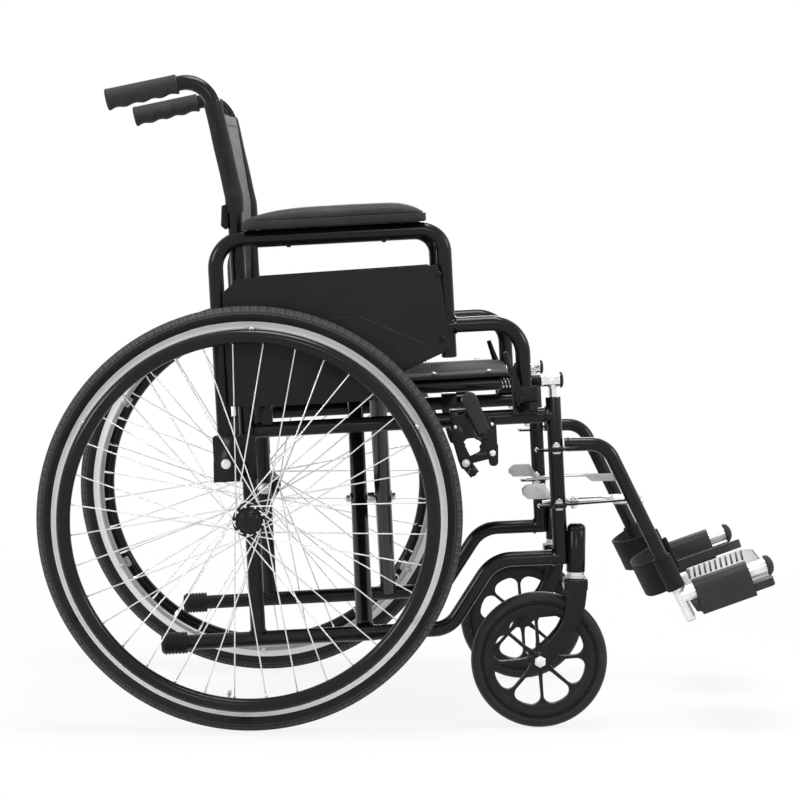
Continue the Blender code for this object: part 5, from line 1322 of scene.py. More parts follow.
def armrest_pad(side, sg):
    """Moulded base with a crisp upper edge, and a crown on it that the cloth simulation puffs up."""
    middle = sg * PAD_Y
    centre_u = PAD_U + PAD_LENGTH / 2
    seam = PAD_SEAM_V
    outline = [(PAD_LENGTH * t, pad_width(PAD_LENGTH * t)) for t in (eased(k, 44) for k in range(45))]
    around = outline + [(a, -w) for a, w in outline[::-1]]
    rings = []
    for v, inset in ((PAD_BASE_V, 0.0026), (PAD_BASE_V + 0.0008, 0.0010), (PAD_BASE_V + 0.0026, 0.0),
                     (seam - 0.0012, 0.0), (seam - 0.0003, 0.0004), (seam, 0.0012),
                     (seam - 0.0006, 0.0020)):
        rings.append([at(centre_u + (a - PAD_LENGTH / 2) * (1.0 - inset * 2.0 / PAD_LENGTH), v,
                         middle + w * (1.0 - inset / PAD_HALF)) for a, w in around])
    pad = Part(side, "_armrest_pad", "_armrest")
    pad.add("_pad_base", Form().rings(rings), "vinyl", sharp=40.0)
    # The seam bead takes the lighter binding finish, a painted highlight along the seam
    bead = [at(PAD_U + a, seam - 0.0003, middle + w * 0.976) for a, w in around]
    pad.wires("_pad_piping", [bead + bead[:1]], 0.0006, "piping_highlight")

    rings = []
    for k in range(41):
        along = 0.0024 + (PAD_LENGTH - 0.0048) * eased(k, 40)
        half = pad_width(along) - 0.0022
        rear = (1.0 - (1.0 - min(1.0, along / 0.130)) ** 3) ** 0.75
        nose = 1.0 - (1.0 - min(1.0, (PAD_LENGTH - along) / 0.065)) ** 3
        rise = max(PAD_RISE * rear * nose, 0.0004)
        row = [(half * 0.96, -0.0022), (half, -0.0004)]
        row += [(half * w, rise * v) for w, v in (
            (0.985, 0.24), (0.90, 0.52), (0.74, 0.76), (0.52, 0.91), (0.27, 0.98))]
        full = row + [(0.0, rise)] + [(-w, v) for w, v in row[::-1]]
        rings.append([at(PAD_U + along, seam + v, middle + w) for w, v in full])
    crown = Form().rings(rings).made(side + "_pad_crown")
    modified(crown, "voxels", 'REMESH', mode='VOXEL', voxel_size=PAD_VOXEL)
    puffed(crown, lambda p: frame_place(p)[1] < seam + 0.0012, 0.0045)
    modified(crown, "smooth", 'SUBSURF', levels=1, render_levels=1)
    pad.settle(smoothed(crown), "vinyl", sharp=70.0)
    screws = [(at(u, 0.5929 - 0.0215, sg * ARM_Y), -V_DIR) for u in (0.060, 0.215)]
    pad.repeats("_pad_screws", screws, "screw", "paint", 0.0040)


def side_panel(side, sg):
    inner = ARM_Y + TUBE_R * math.cos(TUBE_FACET) + 0.0003
    face = sg * (inner + PANEL_T)
    outline = rounded([(-0.0220, 0.3420), (-0.0220, 0.5060), (0.0004, 0.5252), (0.2870, 0.5298),
                       (0.2905, 0.5166), (0.3000, 0.4120), (0.2957, 0.4060), (0.2329, 0.3799),
                       (0.1827, 0.3400), (0.0251, 0.3400)],
                      [0.006, 0.006, 0.006, 0.006, 0.006, 0.004, 0.006, 0.020, 0.012, 0.010], 6)
    panel = Part(side, "_side_panel", "_armrest")
    panel.add("_panel", Form().plate(outline, sg * inner, face), "panel", edge=0.0007)
    # Raised border line of the moulded recess, from the rear lower corner to the front edge; its
    # lighter binding finish is a painted highlight
    ridge = [ahead(x, z, face - sg * 0.0002)
             for x, z in ((0.1045, 0.5914), (0.1522, 0.5964), (0.2494, 0.5580))]
    panel.wires("_panel_ridge", [ridge], 0.0006, "piping_highlight")
    panel.repeats("_panel_screws", [(ahead(x, z, face), Y_DIR * sg)
                                    for x, z in ((0.2656, 0.6590), (0.2736, 0.5658))],
                  "screw", "cap", 0.0044)


def arm_socket(side, sg):
    name = side + "_arm_socket"
    socket = copied(name, side + "_socket", "coating", side + "_frame", 0.0009)
    hollow = Form().block(SOCKET_U - 0.0300, SOCKET_U + 0.0300, 0.2850, 0.3122, sg * 0.2391,
                          sg * 0.2800)
    carved(socket, mesh_piece(hollow.bm, "cutter"))
    copied(side + "_arm_release_lever", side + "_release_tongue", "paint", side + "_arm_lever")
    steps = Form()
    steps.block(SOCKET_U - 0.0152, SOCKET_U + 0.0178, 0.3282, 0.3486, sg * 0.2664, sg * 0.2692, 0.0012)
    steps.block(SOCKET_U + 0.0050, SOCKET_U + 0.0165, 0.3128, 0.3262, sg * 0.2664, sg * 0.2682, 0.0030)
    lip = [(-0.0192, 0.3640), (-0.0160, 0.3640), (-0.0160, 0.3160), (-0.0100, 0.3132),
           (-0.0160, 0.3082), (-0.0192, 0.3100)]
    steps.plate(rounded([(SOCKET_U + a, v) for a, v in lip], 0.0006), sg * 0.2650, sg * 0.2700)
    Part(side, "_arm_socket", "_frame", True).add("_socket_steps", steps, "plastic", edge=0.0006)


# ---- wheel locks


LOCK_FACE = 0.2720
LOCK_PIVOT = (0.3525, 0.2563)
SHOE_PIVOT = (0.3134, 0.2437)
LOCK_U = 0.305
CLAMP_IN_R = 0.0114
CLAMP_OUT = 0.0146
LEVER_GRIP_LENGTH = 0.0590
LEVER_GRIP_STATIONS = 96


def wheel_lock(side, sg):
    """Clamp and cut-out plate with its fasteners, then the lever and the shoe."""
    out = Y_DIR * sg
    u0, v0, y = LOCK_U, SIDE_RAIL_V, sg * FRAME_Y
    corners = [(-0.0075, 0.0084), (0.0370, 0.0110), (0.0550, -0.0080), (0.0550, -0.0540),
               (0.0420, -0.0565), (0.0190, -0.0610), (0.0150, -0.0690), (0.0020, -0.0690),
               (-0.0022, -0.0570), (-0.0090, -0.0280)]
    hole = [(0.0065, -0.0307), (0.0115, -0.0252), (0.0243, -0.0251), (0.0321, -0.0320),
            (0.0291, -0.0447), (0.0153, -0.0505)]
    plate = Form().plate(rounded([(u0 + a, v0 + b) for a, b in corners], 0.004),
                         sg * 0.2690, sg * LOCK_FACE).made(side + "_lock_plate")
    cutter = Form().plate(rounded([(u0 + a, v0 + b) for a, b in hole],
                                  [0.002, 0.007, 0.007, 0.004, 0.004, 0.001]),
                          sg * 0.2600, sg * 0.2800).made("cutter")
    bracket = Part(side, "_brake_bracket", "_frame")
    bracket.settle(carved(plate, cutter), "paint", edge=0.0006)

    clamp = Form()
    bore = [(CLAMP_IN_R * math.sin(t), CLAMP_IN_R * math.cos(t)) for t in
            (math.pi * k / 12 for k in range(1, 12))]
    half = [(CLAMP_OUT, 0.0), (CLAMP_OUT, 0.0120), (0.0120, CLAMP_OUT), (0.0, CLAMP_OUT),
            (0.0, CLAMP_IN_R), *bore, (0.0, -CLAMP_IN_R), (0.0, -CLAMP_OUT), (0.0120, -CLAMP_OUT),
            (CLAMP_OUT, -0.0120)]
    for hand in (-1, 1):
        clamp.slab([at(u0 - 0.0105, v0 + b, y + hand * a) for a, b in half], U_DIR * 0.0245)
    clamp.block(u0 - 0.0095, u0 + 0.0130, v0 - 0.0080, v0 + 0.0080, sg * 0.2400, sg * 0.2695)
    bracket.add("_lock_clamp", clamp, "paint", edge=0.0006)
    # A bright strip along the top of the black clamp: a painted highlight for the light the clamp
    # catches there
    band = Form().block(u0 - 0.0102, u0 + 0.0136, v0 + CLAMP_OUT, v0 + 0.0162, y - 0.0125, y + 0.0125,
                        0.0005)
    bracket.add("_lock_band", band, "bright", edge=0.0003)
    lever = Part(side, "_brake_lever", "_lock_lever")
    pu, pv = LOCK_PIVOT
    lever.repeats("_lever_rivet", [(at(pu - 0.0372, pv + 0.0790, sg * 0.2768), out)], "dome", "bright",
                  0.0042)
    pins = Form()
    for pivot in (LOCK_PIVOT, SHOE_PIVOT):
        pins.rod(at(*pivot, sg * 0.2700), at(*pivot, sg * 0.2768), 0.0034)
    bracket.add("_lock_pins", pins, "zinc")
    for tail, places, shape, finish, size in (
            ("_lock_domes", [(at(*LOCK_PIVOT, sg * 0.2766), out)], "dome", "bright", 0.0048),
            ("_shoe_nut", [(at(*SHOE_PIVOT, sg * 0.2766), out, 0.3)], "nut", "bright", 0.0044),
            ("_lock_dark_nuts", [(at(0.3390, 0.2655, sg * LOCK_FACE), out, 0.2),
                                 (at(0.3010, 0.2760, sg * LOCK_FACE), out, 0.5)],
             "nut", "paint", 0.0040),
            ("_lock_screws", [(at(0.3535, 0.2975, sg * LOCK_FACE), out),
                              (at(0.3010, 0.2960, sg * LOCK_FACE), out),
                              (at(0.3000, v0 + 0.0158, sg * (FRAME_Y + 0.008)), V_DIR)],
             "screw", "bright", 0.0027)):
        bracket.repeats(tail, places, shape, finish, size)

    near, far = sg * (LOCK_FACE + 0.0003), sg * (LOCK_FACE + 0.0043)
    arm = Form().plate(rounded([(pu + a, pv + b) for a, b in (
        (-0.0052, -0.0188), (0.0072, -0.0188), (0.0085, 0.0100), (0.0010, 0.0345), (-0.0185, 0.0285),
        (-0.0085, 0.0060))], [0.0056, 0.0056, 0.004, 0.003, 0.003, 0.003]), near, far)
    arm.block(pu - 0.0150, pu + 0.0030, pv + 0.0215, pv + 0.0325, near, sg * (LOCK_FACE + 0.0120),
              0.002)
    lever.add("_lock_arm", arm, "paint", edge=0.0006)
    lever.add("_lock_grip", lever_grip(pu, pv, sg), "lever", sharp=50.0)
    copied(side + "_brake_shoe", side + "_lock_shoe_plate", "paint", side + "_lock_shoe")


def squarish(value, power):
    """Sine or cosine that swells a round section towards a rectangle."""
    return abs(value) ** power * (1 if value > 0 else -1)


def lever_grip(pu, pv, sg):
    """Flattened round grip, wider towards its rounded end, with three grooves near it."""
    low, high = at(pu - 0.0107, pv + 0.0309), at(pu - 0.0334, pv + 0.0891)
    along = (high - low).normalized()
    across = along.cross(Y_DIR).normalized()
    middle = sg * (LOCK_FACE + 0.0088)
    rings = []
    for k in range(LEVER_GRIP_STATIONS + 1):
        share = 1.06 * k / LEVER_GRIP_STATIONS
        end = max(0.0, (share - 0.86) / 0.20)
        edge = 0.0012 * max(0.0, 1.0 - share / 0.03)
        groove = sum(math.exp(-((share - g) / 0.011) ** 2) for g in (0.62, 0.685, 0.75)) * 0.0007
        width = (0.0095 + 0.0017 * min(1.0, share / 0.85)) * math.sqrt(max(0.02, 1.0 - end * end))
        width -= edge + groove
        thick = 0.0064 * (1.0 - 0.45 * end ** 3) - edge - groove
        centre = low + along * (LEVER_GRIP_LENGTH * share)
        rings.append([centre + across * (width * squarish(math.cos(t), 0.45))
                      + Y_DIR * (middle + thick * squarish(math.sin(t), 0.55)) for t in turns(28)])
    return Form().rings(rings)


# ---- leg hangers and footrests


HANGER_TOP = (0.5724, 0.2995)
SLOPE = math.radians(63.0)
HANGER_DOWN = Vector((math.cos(SLOPE), 0.0, -math.sin(SLOPE)))
LATCH_V = 0.1715
SHAFT_LOW = (0.6258, 0.1949)
SHAFT_HIGH = (0.7508, 0.2414)
SHAFT_R = 0.011
POST_R = 0.0080
POST_END = 0.1560
PLATE_LOW = -0.029
PLATE_RISE = 0.140
PLATE_T = 0.013
PLATE_RIBS = 11
RIB_PITCH = 0.0084
HANGER_TUBE_R = 0.010


def hanger_line(distance, y):
    """Point on the hanger's slope, measured down from its upper end."""
    return ahead(*HANGER_TOP, y) + HANGER_DOWN * distance


def hanger(side, sg):
    y = sg * FRAME_Y
    part = Part(side, "_hanger", "_leg_hanger")
    tube = Form().tube([at(0.4590, 0.2595, y), at(0.5193, 0.2575, y), hanger_line(0.098, y)], [0.036],
                       HANGER_TUBE_R, 32)
    tube.hoop(at(0.4640, 0.2595, y), U_DIR, [
        (0.0, 0.0096), (0.0, 0.0104), (0.0004, 0.0107), (0.0014, 0.0107), (0.0018, 0.0104),
        (0.0018, 0.0096)], 32)
    part.add("_hanger_tube", tube, "paint", sharp=40.0)
    upper = [(-0.0085, -0.0045), (-0.0085, 0.0085), (0.0085, 0.0085), (0.0360, -0.0120),
             (0.0360, -0.0300), (0.0160, -0.0300), (0.0150, -0.0135), (0.0085, -0.0095)]
    lower = [(-0.0085, -0.0045), (-0.0085, 0.0085), (0.0060, 0.0085), (0.1000, -0.0145),
             (0.1000, -0.0295), (0.0170, -0.0230), (0.0110, -0.0100)]
    plates = Form()
    for level, outline in zip(LUG_LEVELS, (lower, upper)):
        shape = rounded([(UPRIGHT_U + du, sg * (HINGE_Y + dy)) for du, dy in outline], 0.0030, 4)
        plates.slab([at(u, level + 0.0018, w) for u, w in shape], V_DIR * LUG_T)
    part.add("_hanger_plates", plates, "paint", edge=0.0005)
    pivot_u, pivot_y = UPRIGHT_U + 0.022, sg * (FRAME_Y + 0.007)
    stud = Form().rod(at(pivot_u, LATCH_V, pivot_y), at(pivot_u, LATCH_V + 0.0085, pivot_y), 0.0024)
    part.add("_latch_stud", stud, "zinc")
    part.repeats("_latch_nuts", [(at(pivot_u, 0.1786, pivot_y), V_DIR, 0.3),
                                 (at(pivot_u, 0.1710, pivot_y), -V_DIR, 0.1)], "nut", "bright", 0.0046)
    copied(side + "_hanger_release_lever", side + "_latch_wing", "wing", side + "_hanger_latch",
           0.0002, 14.0)


def shaft_axes(y):
    """Ends of the footrest's shaft, its direction and the one square to it and upwards."""
    start, end = ahead(*SHAFT_LOW, y), ahead(*SHAFT_HIGH, y)
    along = (end - start).normalized()
    return start, end, along, Vector((-along.z, 0.0, along.x))


def fluted(start, end, radius):
    """Round bar with two fine grooves along each side, as drawn tube has."""
    length = (end - start).length
    along = (end - start).normalized()
    b = along.cross(Y_DIR).normalized()
    grooves = [math.radians(d) for d in (32, 148, 212, 328)]
    rings = []
    for place, shrink in ((0.0, 0.0008), (0.0008, 0.0), (length - 0.0008, 0.0), (length, 0.0008)):
        ring = []
        for angle in turns(72):
            off = min(abs(math.remainder(angle - g, FULL_TURN)) for g in grooves)
            r = radius - shrink - (0.0006 if off < math.radians(3.0) else 0.0)
            ring.append(start + along * place + turned_to(angle, b, Y_DIR, r))
        rings.append(ring)
    return rings


def footrest_post(side, sg):
    y = sg * FRAME_Y
    start, end, along, _ = shaft_axes(y)
    foot = hanger_line(POST_END, y)
    tubes = Form().rings(fluted(hanger_line(0.0450, y), foot, POST_R))
    tubes.rings(fluted(start, end, SHAFT_R))
    part = Part(side, "_footrest_post", "_leg_hanger")
    part.add("_footrest_tubes", tubes, "plated")
    part.add("_post_plug", Form().turned(foot - HANGER_DOWN * 0.0012, HANGER_DOWN, [
        (0.0, 0.0), (0.0, 0.0068), (0.0020, 0.0066), (0.0026, 0.0)], 32), "cap")
    part.add("_footrest_dome", Form().turned(end - along * 0.0010, along, [
        (0.0, 0.0), (0.0, 0.0140), (0.0006, 0.0149), (0.0022, 0.0150), (0.0042, 0.0146),
        (0.0068, 0.0128), (0.0092, 0.0094), (0.0108, 0.0050), (0.0115, 0.0)], 40), "dome")


def footplate(side, sg):
    """The moulded plate with its wall, a ribbed light tread on top, and painted shade as small dark
    ovals where its slot holes are.
    """
    copied(side + "_footplate", side + "_plate", "plate", side + "_foot", 0.0012, 28.0)
    start, _, along, lift = shaft_axes(sg * FRAME_Y)

    def raised(form, outline, rise, thick):
        """Adds a flat shape on the plate's top, given along the shaft and inboard of it."""
        form.slab([start + along * s - Y_DIR * (sg * i)
                   + lift * (PLATE_LOW + PLATE_T + PLATE_RISE * i + rise) for s, i in outline],
                  lift * thick)

    tread = Form()
    raised(tread, rounded([(0.0172, 0.0205), (0.1350, 0.0205), (0.1350, 0.1540), (0.1180, 0.1728),
                           (0.0340, 0.1728), (0.0340, 0.1475), (0.0172, 0.1365)],
                          [0.003, 0.003, 0.011, 0.011, 0.005, 0.004, 0.005], 4), -0.0004, 0.0009)
    raised(tread, [(0.1062, -0.0085), (0.1352, -0.0085), (0.1352, 0.0180), (0.1062, 0.0180)],
           0.0116 - PLATE_T, 0.0006)
    ribs = Form()
    for k in range(PLATE_RIBS):
        s = 0.0290 + RIB_PITCH * k
        raised(ribs, [(s, 0.118), (s + 0.0030, 0.118), (s + 0.0086, 0.162), (s + 0.0056, 0.162)],
               0.0003, 0.0022)
    # Painted shade: thin dark ovals on the tread stand for the slot holes, which are not cut
    slot_shades = Form()
    slot_marks = [(s, 0.060, 0.0009, 0.0042, 0.0004) for s in (0.0330, 0.0450, 0.0740, 0.1040)]
    for s, i, long, wide, rise in (*slot_marks, (0.1290, 0.004, 0.0040, 0.0030, -0.0009)):
        oval = [(s + long * math.cos(t), i + wide * math.sin(t)) for t in turns(20)]
        raised(slot_shades, oval, rise, 0.0003)
    part = Part(side, "_footplate", "_foot", True)
    part.add("_plate_tread", tread, "tread", edge=0.0002)
    part.add("_plate_ribs", ribs, "plate", edge=0.0004)
    part.add("_plate_slots", slot_shades, "cap")


STRAP_HALF = 0.026
STRAP_T = 0.0022
STRAP_AT = 0.0793


def strap_squash(ob, sg):
    """Gives the heel strap its own copy of its mesh."""
    sg * FRAME_Y
    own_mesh(ob)


def curved_through(spots, steps=8):
    """Points on a smooth curve through the given two-number spots."""
    path = []
    for i in range(len(spots) - 1):
        p0, p1, p2, p3 = (spots[min(max(i + k, 0), len(spots) - 1)] for k in (-1, 0, 1, 2))
        for k in range(steps):
            t = k / steps
            path.append(tuple(0.5 * (2 * b + (c - a) * t + (2 * a - 5 * b + 4 * c - d) * t * t
                                     + (3 * b - a - 3 * c + d) * t ** 3)
                              for a, b, c, d in zip(p0, p1, p2, p3)))
    return path + [spots[-1]]


def heel_loop(side, sg):
    """Webbing sleeve on the hanger and its strap, one curved band with a folded edge."""
    down = HANGER_DOWN
    centre = hanger_line(STRAP_AT, sg * FRAME_Y)
    forward = Vector((-down.z, 0.0, down.x))
    path = curved_through([(-0.0060, 0.2190), (-0.0220, 0.2080), (-0.0340, 0.1900), (-0.0400, 0.1620),
                           (-0.0390, 0.1300), (-0.0290, 0.1000), (-0.0080, 0.0760), (0.0080, 0.0670),
                           (0.0245, 0.0635)])
    runs = [0.0]
    for before, spot in zip(path, path[1:]):
        runs.append(runs[-1] + math.dist(before, spot))
    line = [centre + forward * m + Y_DIR * (sg * (w - FRAME_Y)) for m, w in path]
    shares = [k / 4.0 - 1.0 for k in range(9)]
    rows = []
    for run, here in zip(runs, line):
        sway = 0.0012 * math.sin(run * 46.0)
        cup = 0.0016 * math.sin(run * 31.0 + 0.6)
        rows.append([here + down * (t * (STRAP_HALF - 0.001) + sway) - forward * (cup * t * t)
                     for t in shares])
    form = Form()
    layer = form.bm.loops.layers.uv.new("strap")
    cloth_place = {}
    for run, row in zip(runs, form.grid(rows)):
        cloth_place.update({vert: (run, t * STRAP_HALF) for vert, t in zip(row, shares)})
    for face in form.bm.faces:
        for loop in face.loops:
            loop[layer].uv = cloth_place[loop.vert]
    part = Part(side, "_heel_loop", "_leg_hanger")
    strap = modified(mesh_piece(form.bm, side + "_heel_strap"), "thickness", 'SOLIDIFY',
                     thickness=STRAP_T, offset=0.0)
    part.settle(strap, "webbing", sharp=60.0)
    side + "_hanger_tube"
    strap_squash(strap, sg)
    half = STRAP_HALF
    part.add("_heel_sleeve", Form().hoop(centre, down, [
        (-half, 0.0104), (-half, 0.0130), (-half + 0.0012, 0.0139), (-0.004, 0.0142), (0.006, 0.0138),
        (half - 0.0012, 0.0141), (half, 0.0132), (half, 0.0104)], 40), "strap_cloth")
    bulge = ((-0.98, 0.0026), (-0.9, 0.0034), (-0.4, 0.0036), (0.0, 0.0034), (0.4, 0.0036),
             (0.9, 0.0034), (0.98, 0.0026))
    roll = Form().sweep([line[-1] + down * (half * t) for t, r in bulge], [r for t, r in bulge])
    strap_squash(part.add("_heel_roll", roll, "strap_cloth", sharp=60.0), sg)


# ---- seat and back


SEAT_REAR_U = 0.012
SEAT_FRONT_U = 0.398
SEAT_HALF = 0.240
SEAT_ROWS, SEAT_COLUMNS = 66, 96
SEAT_SEAMS = (-0.186, -0.062, 0.062, 0.186)
SEAT_UNDER = RAIL_V + 0.0103
SEAT_THICK = 0.008
SEAT_SAG = 0.0095
SEAM_PULL, SEAM_WIDTH = 0.0026, 0.0040
CLOTH_HALF = 0.205
BACK_LOW_V = 0.4220
BACK_HIGH_V = 0.7800
BACK_SPLIT_V = 0.6060
BACK_HALF = 0.2190
BACK_THICK = 0.0034
BACK_BELLY = 0.018
BACK_COLUMNS = 96
CANE_SLEEVE_R = 0.0131
STITCH_R = 0.0004


def bowl(y):
    """1 in the middle of the cloth and 0 at the tubes that hold it."""
    return max(0.0, 1.0 - (y / CLOTH_HALF) ** 2)


def seat_height(y):
    """Upper side of the seat above its rails, along v."""
    return SEAT_UNDER + SEAT_THICK - SEAT_SAG * bowl(y)


def seat_bottom(y):
    return SEAT_UNDER - SEAT_SAG * bowl(y) * 0.75


def seat_pull(u, y, phases):
    """How far seams, edges and creases pull the seat's top down."""
    pull = sum(SEAM_PULL * math.exp(-((y - s) / SEAM_WIDTH) ** 2) for s in SEAT_SEAMS)
    edge_u = max(0.0, min(u - SEAT_REAR_U, SEAT_FRONT_U - u))
    edge_y = max(0.0, SEAT_HALF - abs(y))
    pull += 0.0042 * math.exp(-(edge_u / 0.0045) ** 1.5) + 0.0050 * math.exp(-(edge_y / 0.0040) ** 1.5)
    pull += 0.0016 * math.exp(-((edge_u - 0.014) / 0.0022) ** 2)
    middle = max(0.0, 1.0 - (y / 0.2) ** 2)
    return pull - middle * 0.0007 * (math.sin(u * 31.0 + phases[0] + y * 9.0)
                                     + math.sin(y * 27.0 + phases[1] + u * 14.0))


def random_phases(seed):
    noise = random.Random(seed)
    return [noise.uniform(0.0, 6.28) for _ in range(3)]


def stitches(points):
    """Every other stretch of a seam's line."""
    return [[points[k], points[k + 1]] for k in range(0, len(points) - 1, 2)]


def seat():
    """Padded seat sling: the simulation puffs its panels up, then the seams and edges pull it in."""
    phases = random_phases(4)
    length = SEAT_FRONT_U - SEAT_REAR_U
    us = [SEAT_REAR_U + length * eased(i, SEAT_ROWS) for i in range(SEAT_ROWS + 1)]
    ys = [-SEAT_HALF + 2 * SEAT_HALF * k / SEAT_COLUMNS for k in range(SEAT_COLUMNS + 1)]
    form = Form()
    upper = []
    lower = []
    for u in us:
        upper.append([form.bm.verts.new(at(u, seat_height(y) - 0.0022, y)) for y in ys])
        lower.append([form.bm.verts.new(at(u, seat_bottom(y), y)) for y in ys])
    for grid in (upper, lower):
        sheet_faces(form.bm, grid)
    for k in (0, SEAT_COLUMNS):
        sheet_faces(form.bm, [[row[k] for row in upper], [row[k] for row in lower]])
    for i in (0, SEAT_ROWS):
        sheet_faces(form.bm, [upper[i], lower[i]])
    cover = form.made("seat_cover")

    def held(p):
        u, v = frame_place(p)
        return (v < seat_bottom(p.y) + 0.002 or min(u - SEAT_REAR_U, SEAT_FRONT_U - u) < 0.004
                or SEAT_HALF - abs(p.y) < 0.004 or min(abs(p.y - s) for s in SEAT_SEAMS) < 0.0030)

    puffed(cover, held, 0.0055)
    rows = [[cover.data.vertices[i * 2 * len(ys) + k] for k in range(len(ys))] for i in range(len(us))]
    for row in rows:
        for p in row:
            p.co -= V_DIR * seat_pull(frame_place(p.co)[0], p.co.y, phases)
    settle(cover, "seat_cloth", None, "seat_sling", ("seat_sling",), 70.0)
    fold_with(cover)

    def on_top(u, y):
        """Point just above the finished top: at the height of its nearest grid point."""
        share = min(1.0, max(0.0, (u - SEAT_REAR_U) / length))
        row = rows[round(math.acos(1.0 - 2.0 * share) / math.pi * SEAT_ROWS)]
        near = row[round((y + SEAT_HALF) / (2.0 * SEAT_HALF) * SEAT_COLUMNS)]
        return at(u, frame_place(near.co)[1] + 0.0003, y)

    lines = []
    for y in SEAT_SEAMS + (-0.225, 0.225):
        lines += stitches([on_top(SEAT_REAR_U + 0.010 + (length - 0.02) * k / 150, y)
                           for k in range(151)])
    fold_with(wires("seat_stitches", lines, STITCH_R, "thread", None, "seat_sling", sides=5))
    for side, sg in SIDES:
        spots = [(at(u, seat_height(sg * FRAME_Y) + 0.0002, sg * FRAME_Y), V_DIR)
                 for u in (0.035, 0.115, 0.195, 0.275, 0.355)]
        repeats(side + "_seat_screws", spots, "screw", "zinc", "brace_b" if sg < 0 else "brace_a",
                "seat_sling", 0.0040)


def fold_with(ob):
    """Bakes the object's placement into its mesh."""
    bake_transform(ob)


def back_lean(v):
    """How far the cane leans rearward at a height above its bend."""
    low, high = CANE[0][1], CANE[1][1]
    return CANE[1][0] * max(0.0, v - low) / (high - low)


def back_sheet(name, low_v, high_v, finish, surface, stands_for=()):
    """One stretch of the back's fabric between the posts, made thick."""
    count = max(24, round((high_v - low_v) / 0.0038))
    rows = []
    for v in (low_v + (high_v - low_v) * i / count for i in range(count + 1)):
        rows.append([at(surface(y, v), v, y) for y in
                     (BACK_HALF * (2.0 * k / BACK_COLUMNS - 1.0) for k in range(BACK_COLUMNS + 1))])
    form = Form()
    form.grid(rows)
    ob = modified(mesh_piece(form.bm, name), "thickness", 'SOLIDIFY', thickness=BACK_THICK,
                  offset=0.0)
    settle(ob, finish, "right_frame", "back_sling", stands_for, 60.0)
    back_squash(ob)


def back():
    """Back sling: fabric that bellies rearward, its lower part in a darker cloth as painted shade, and
    a sleeve on each cane.
    """
    phases = random_phases(7)

    def surface(y, v):
        """Place u of the fabric: it leaves the posts further forward at the top than below."""
        share = (v - BACK_LOW_V) / (BACK_HIGH_V - BACK_LOW_V)
        belly = bowl(y) * (BACK_BELLY * (0.75 + 0.25 * math.sin(math.pi * share))
                           + 0.0010 * math.sin(y * 22.0 + phases[0] + share * 5.0)
                           + 0.0007 * math.sin(share * 17.0 + phases[1]))
        pull = 0.0008 * math.sin(share * 60.0 + phases[2]) * math.exp(-((abs(y) - 0.19) / 0.02) ** 2)
        return back_lean(v) + 0.0090 * (2.0 * share - 1.0) - belly - pull

    def apron_surface(y, v):
        return surface(y, v) - 0.0020 * (0.5 + 0.5 * math.tanh((v - 0.600) / 0.004))

    back_sheet("back_cover", BACK_SPLIT_V, BACK_HIGH_V, "back_cloth", surface, ("back_sling",))
    # Painted shade: the lower stretch takes the darker strap cloth where the seat and armrests shade
    # the fabric, which is one colour all over
    back_sheet("back_apron", BACK_LOW_V, BACK_SPLIT_V + 0.004, "strap_cloth", apron_surface)
    for side, sg in SIDES:
        y = sg * FRAME_Y
        for low, high, tail, rows in ((0.6200, BACK_HIGH_V, "_back_sleeve", 40),
                                      (0.4400, 0.4560, "_back_band", 6)):
            levels = [low + (high - low) * k / rows for k in range(rows + 1)]
            path = [at(back_lean(v), v, y) for v in levels]
            radii = [CANE_SLEEVE_R + 0.0002 * math.sin(k * 0.37 + sg)
                     - (0.0006 if k in (0, rows) else 0.0) for k in range(rows + 1)]
            Form().sweep(path, radii, 32).piece(side + tail, "sleeve_cloth", side + "_frame",
                                                "back_sling", sharp=60.0)
        tail = rounded([(-0.0110, 0.6330), (-0.0185, 0.6310), (-0.0210, 0.6020), (-0.0145, 0.5960),
                        (-0.0100, 0.6000)], 0.0025, 4)
        Form().plate(tail, y - 0.0085, y + 0.0085).piece(side + "_strap_tail", "strap_cloth",
                                                         side + "_frame", "back_sling", edge=0.0008)
    lines = []
    for v in (0.7650, 0.4340):
        lines += stitches([at(surface(y, v) + 0.0020, v, y) for y in
                           (-CLOTH_HALF + 2.0 * CLOTH_HALF * k / 240 for k in range(241))])
    thread = wires("back_stitches", lines, STITCH_R, "thread", "right_frame", "back_sling", sides=5)
    back_squash(thread)


def back_squash(ob):
    """Gives the fabric its own copy of its mesh."""
    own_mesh(ob)


# ---- stage


PHOTO_WIDTH = 800.0
PHOTO_FOCUS = 2656.5
SENSOR = 36.0
CAMERA_PLACE = (0.1707, 0.6797, -4.0773)
CAMERA_TURN = (-0.632, -3.038, 0.806)
FLOOR_R = 9.0
LAMPS = (
    ("overhead", (0.1, -0.3, 2.7), 0.4, 1.1, "overhead", 1.0),
    ("left_window", (-2.4, -1.5, 1.5), 0.5, 0.8, "side", 1.0),
    ("right_window", (2.4, -0.9, 1.7), 0.5, 0.7, "side", 0.8),
    ("rear_window", (0.3, 2.6, 1.7), 0.5, 1.0, "rear", 1.0),
    ("front_fill", (0.2, -4.2, 1.9), 0.45, 0.6, "fill", 1.0),
)


def camera():
    """The camera that took the photograph."""
    yaw, pitch, roll = (math.radians(a) for a in CAMERA_TURN)
    onward = Vector((-math.sin(yaw) * math.cos(pitch), math.cos(yaw) * math.cos(pitch),
                     math.sin(pitch)))
    level = Vector((math.cos(yaw), math.sin(yaw), 0.0))
    above = level.cross(onward)
    right = level * math.cos(roll) + above * math.sin(roll)
    up = above * math.cos(roll) - level * math.sin(roll)
    data = bpy.data.cameras.new("photo_camera")
    data.sensor_width = SENSOR
    data.lens = PHOTO_FOCUS / PHOTO_WIDTH * SENSOR
    ob = linked("photo_camera", data)
    ob.matrix_world = (Matrix.Translation(ahead(*CAMERA_PLACE))
                       @ Matrix((right, up, -onward)).transposed().to_4x4())
    bpy.context.scene.camera = ob


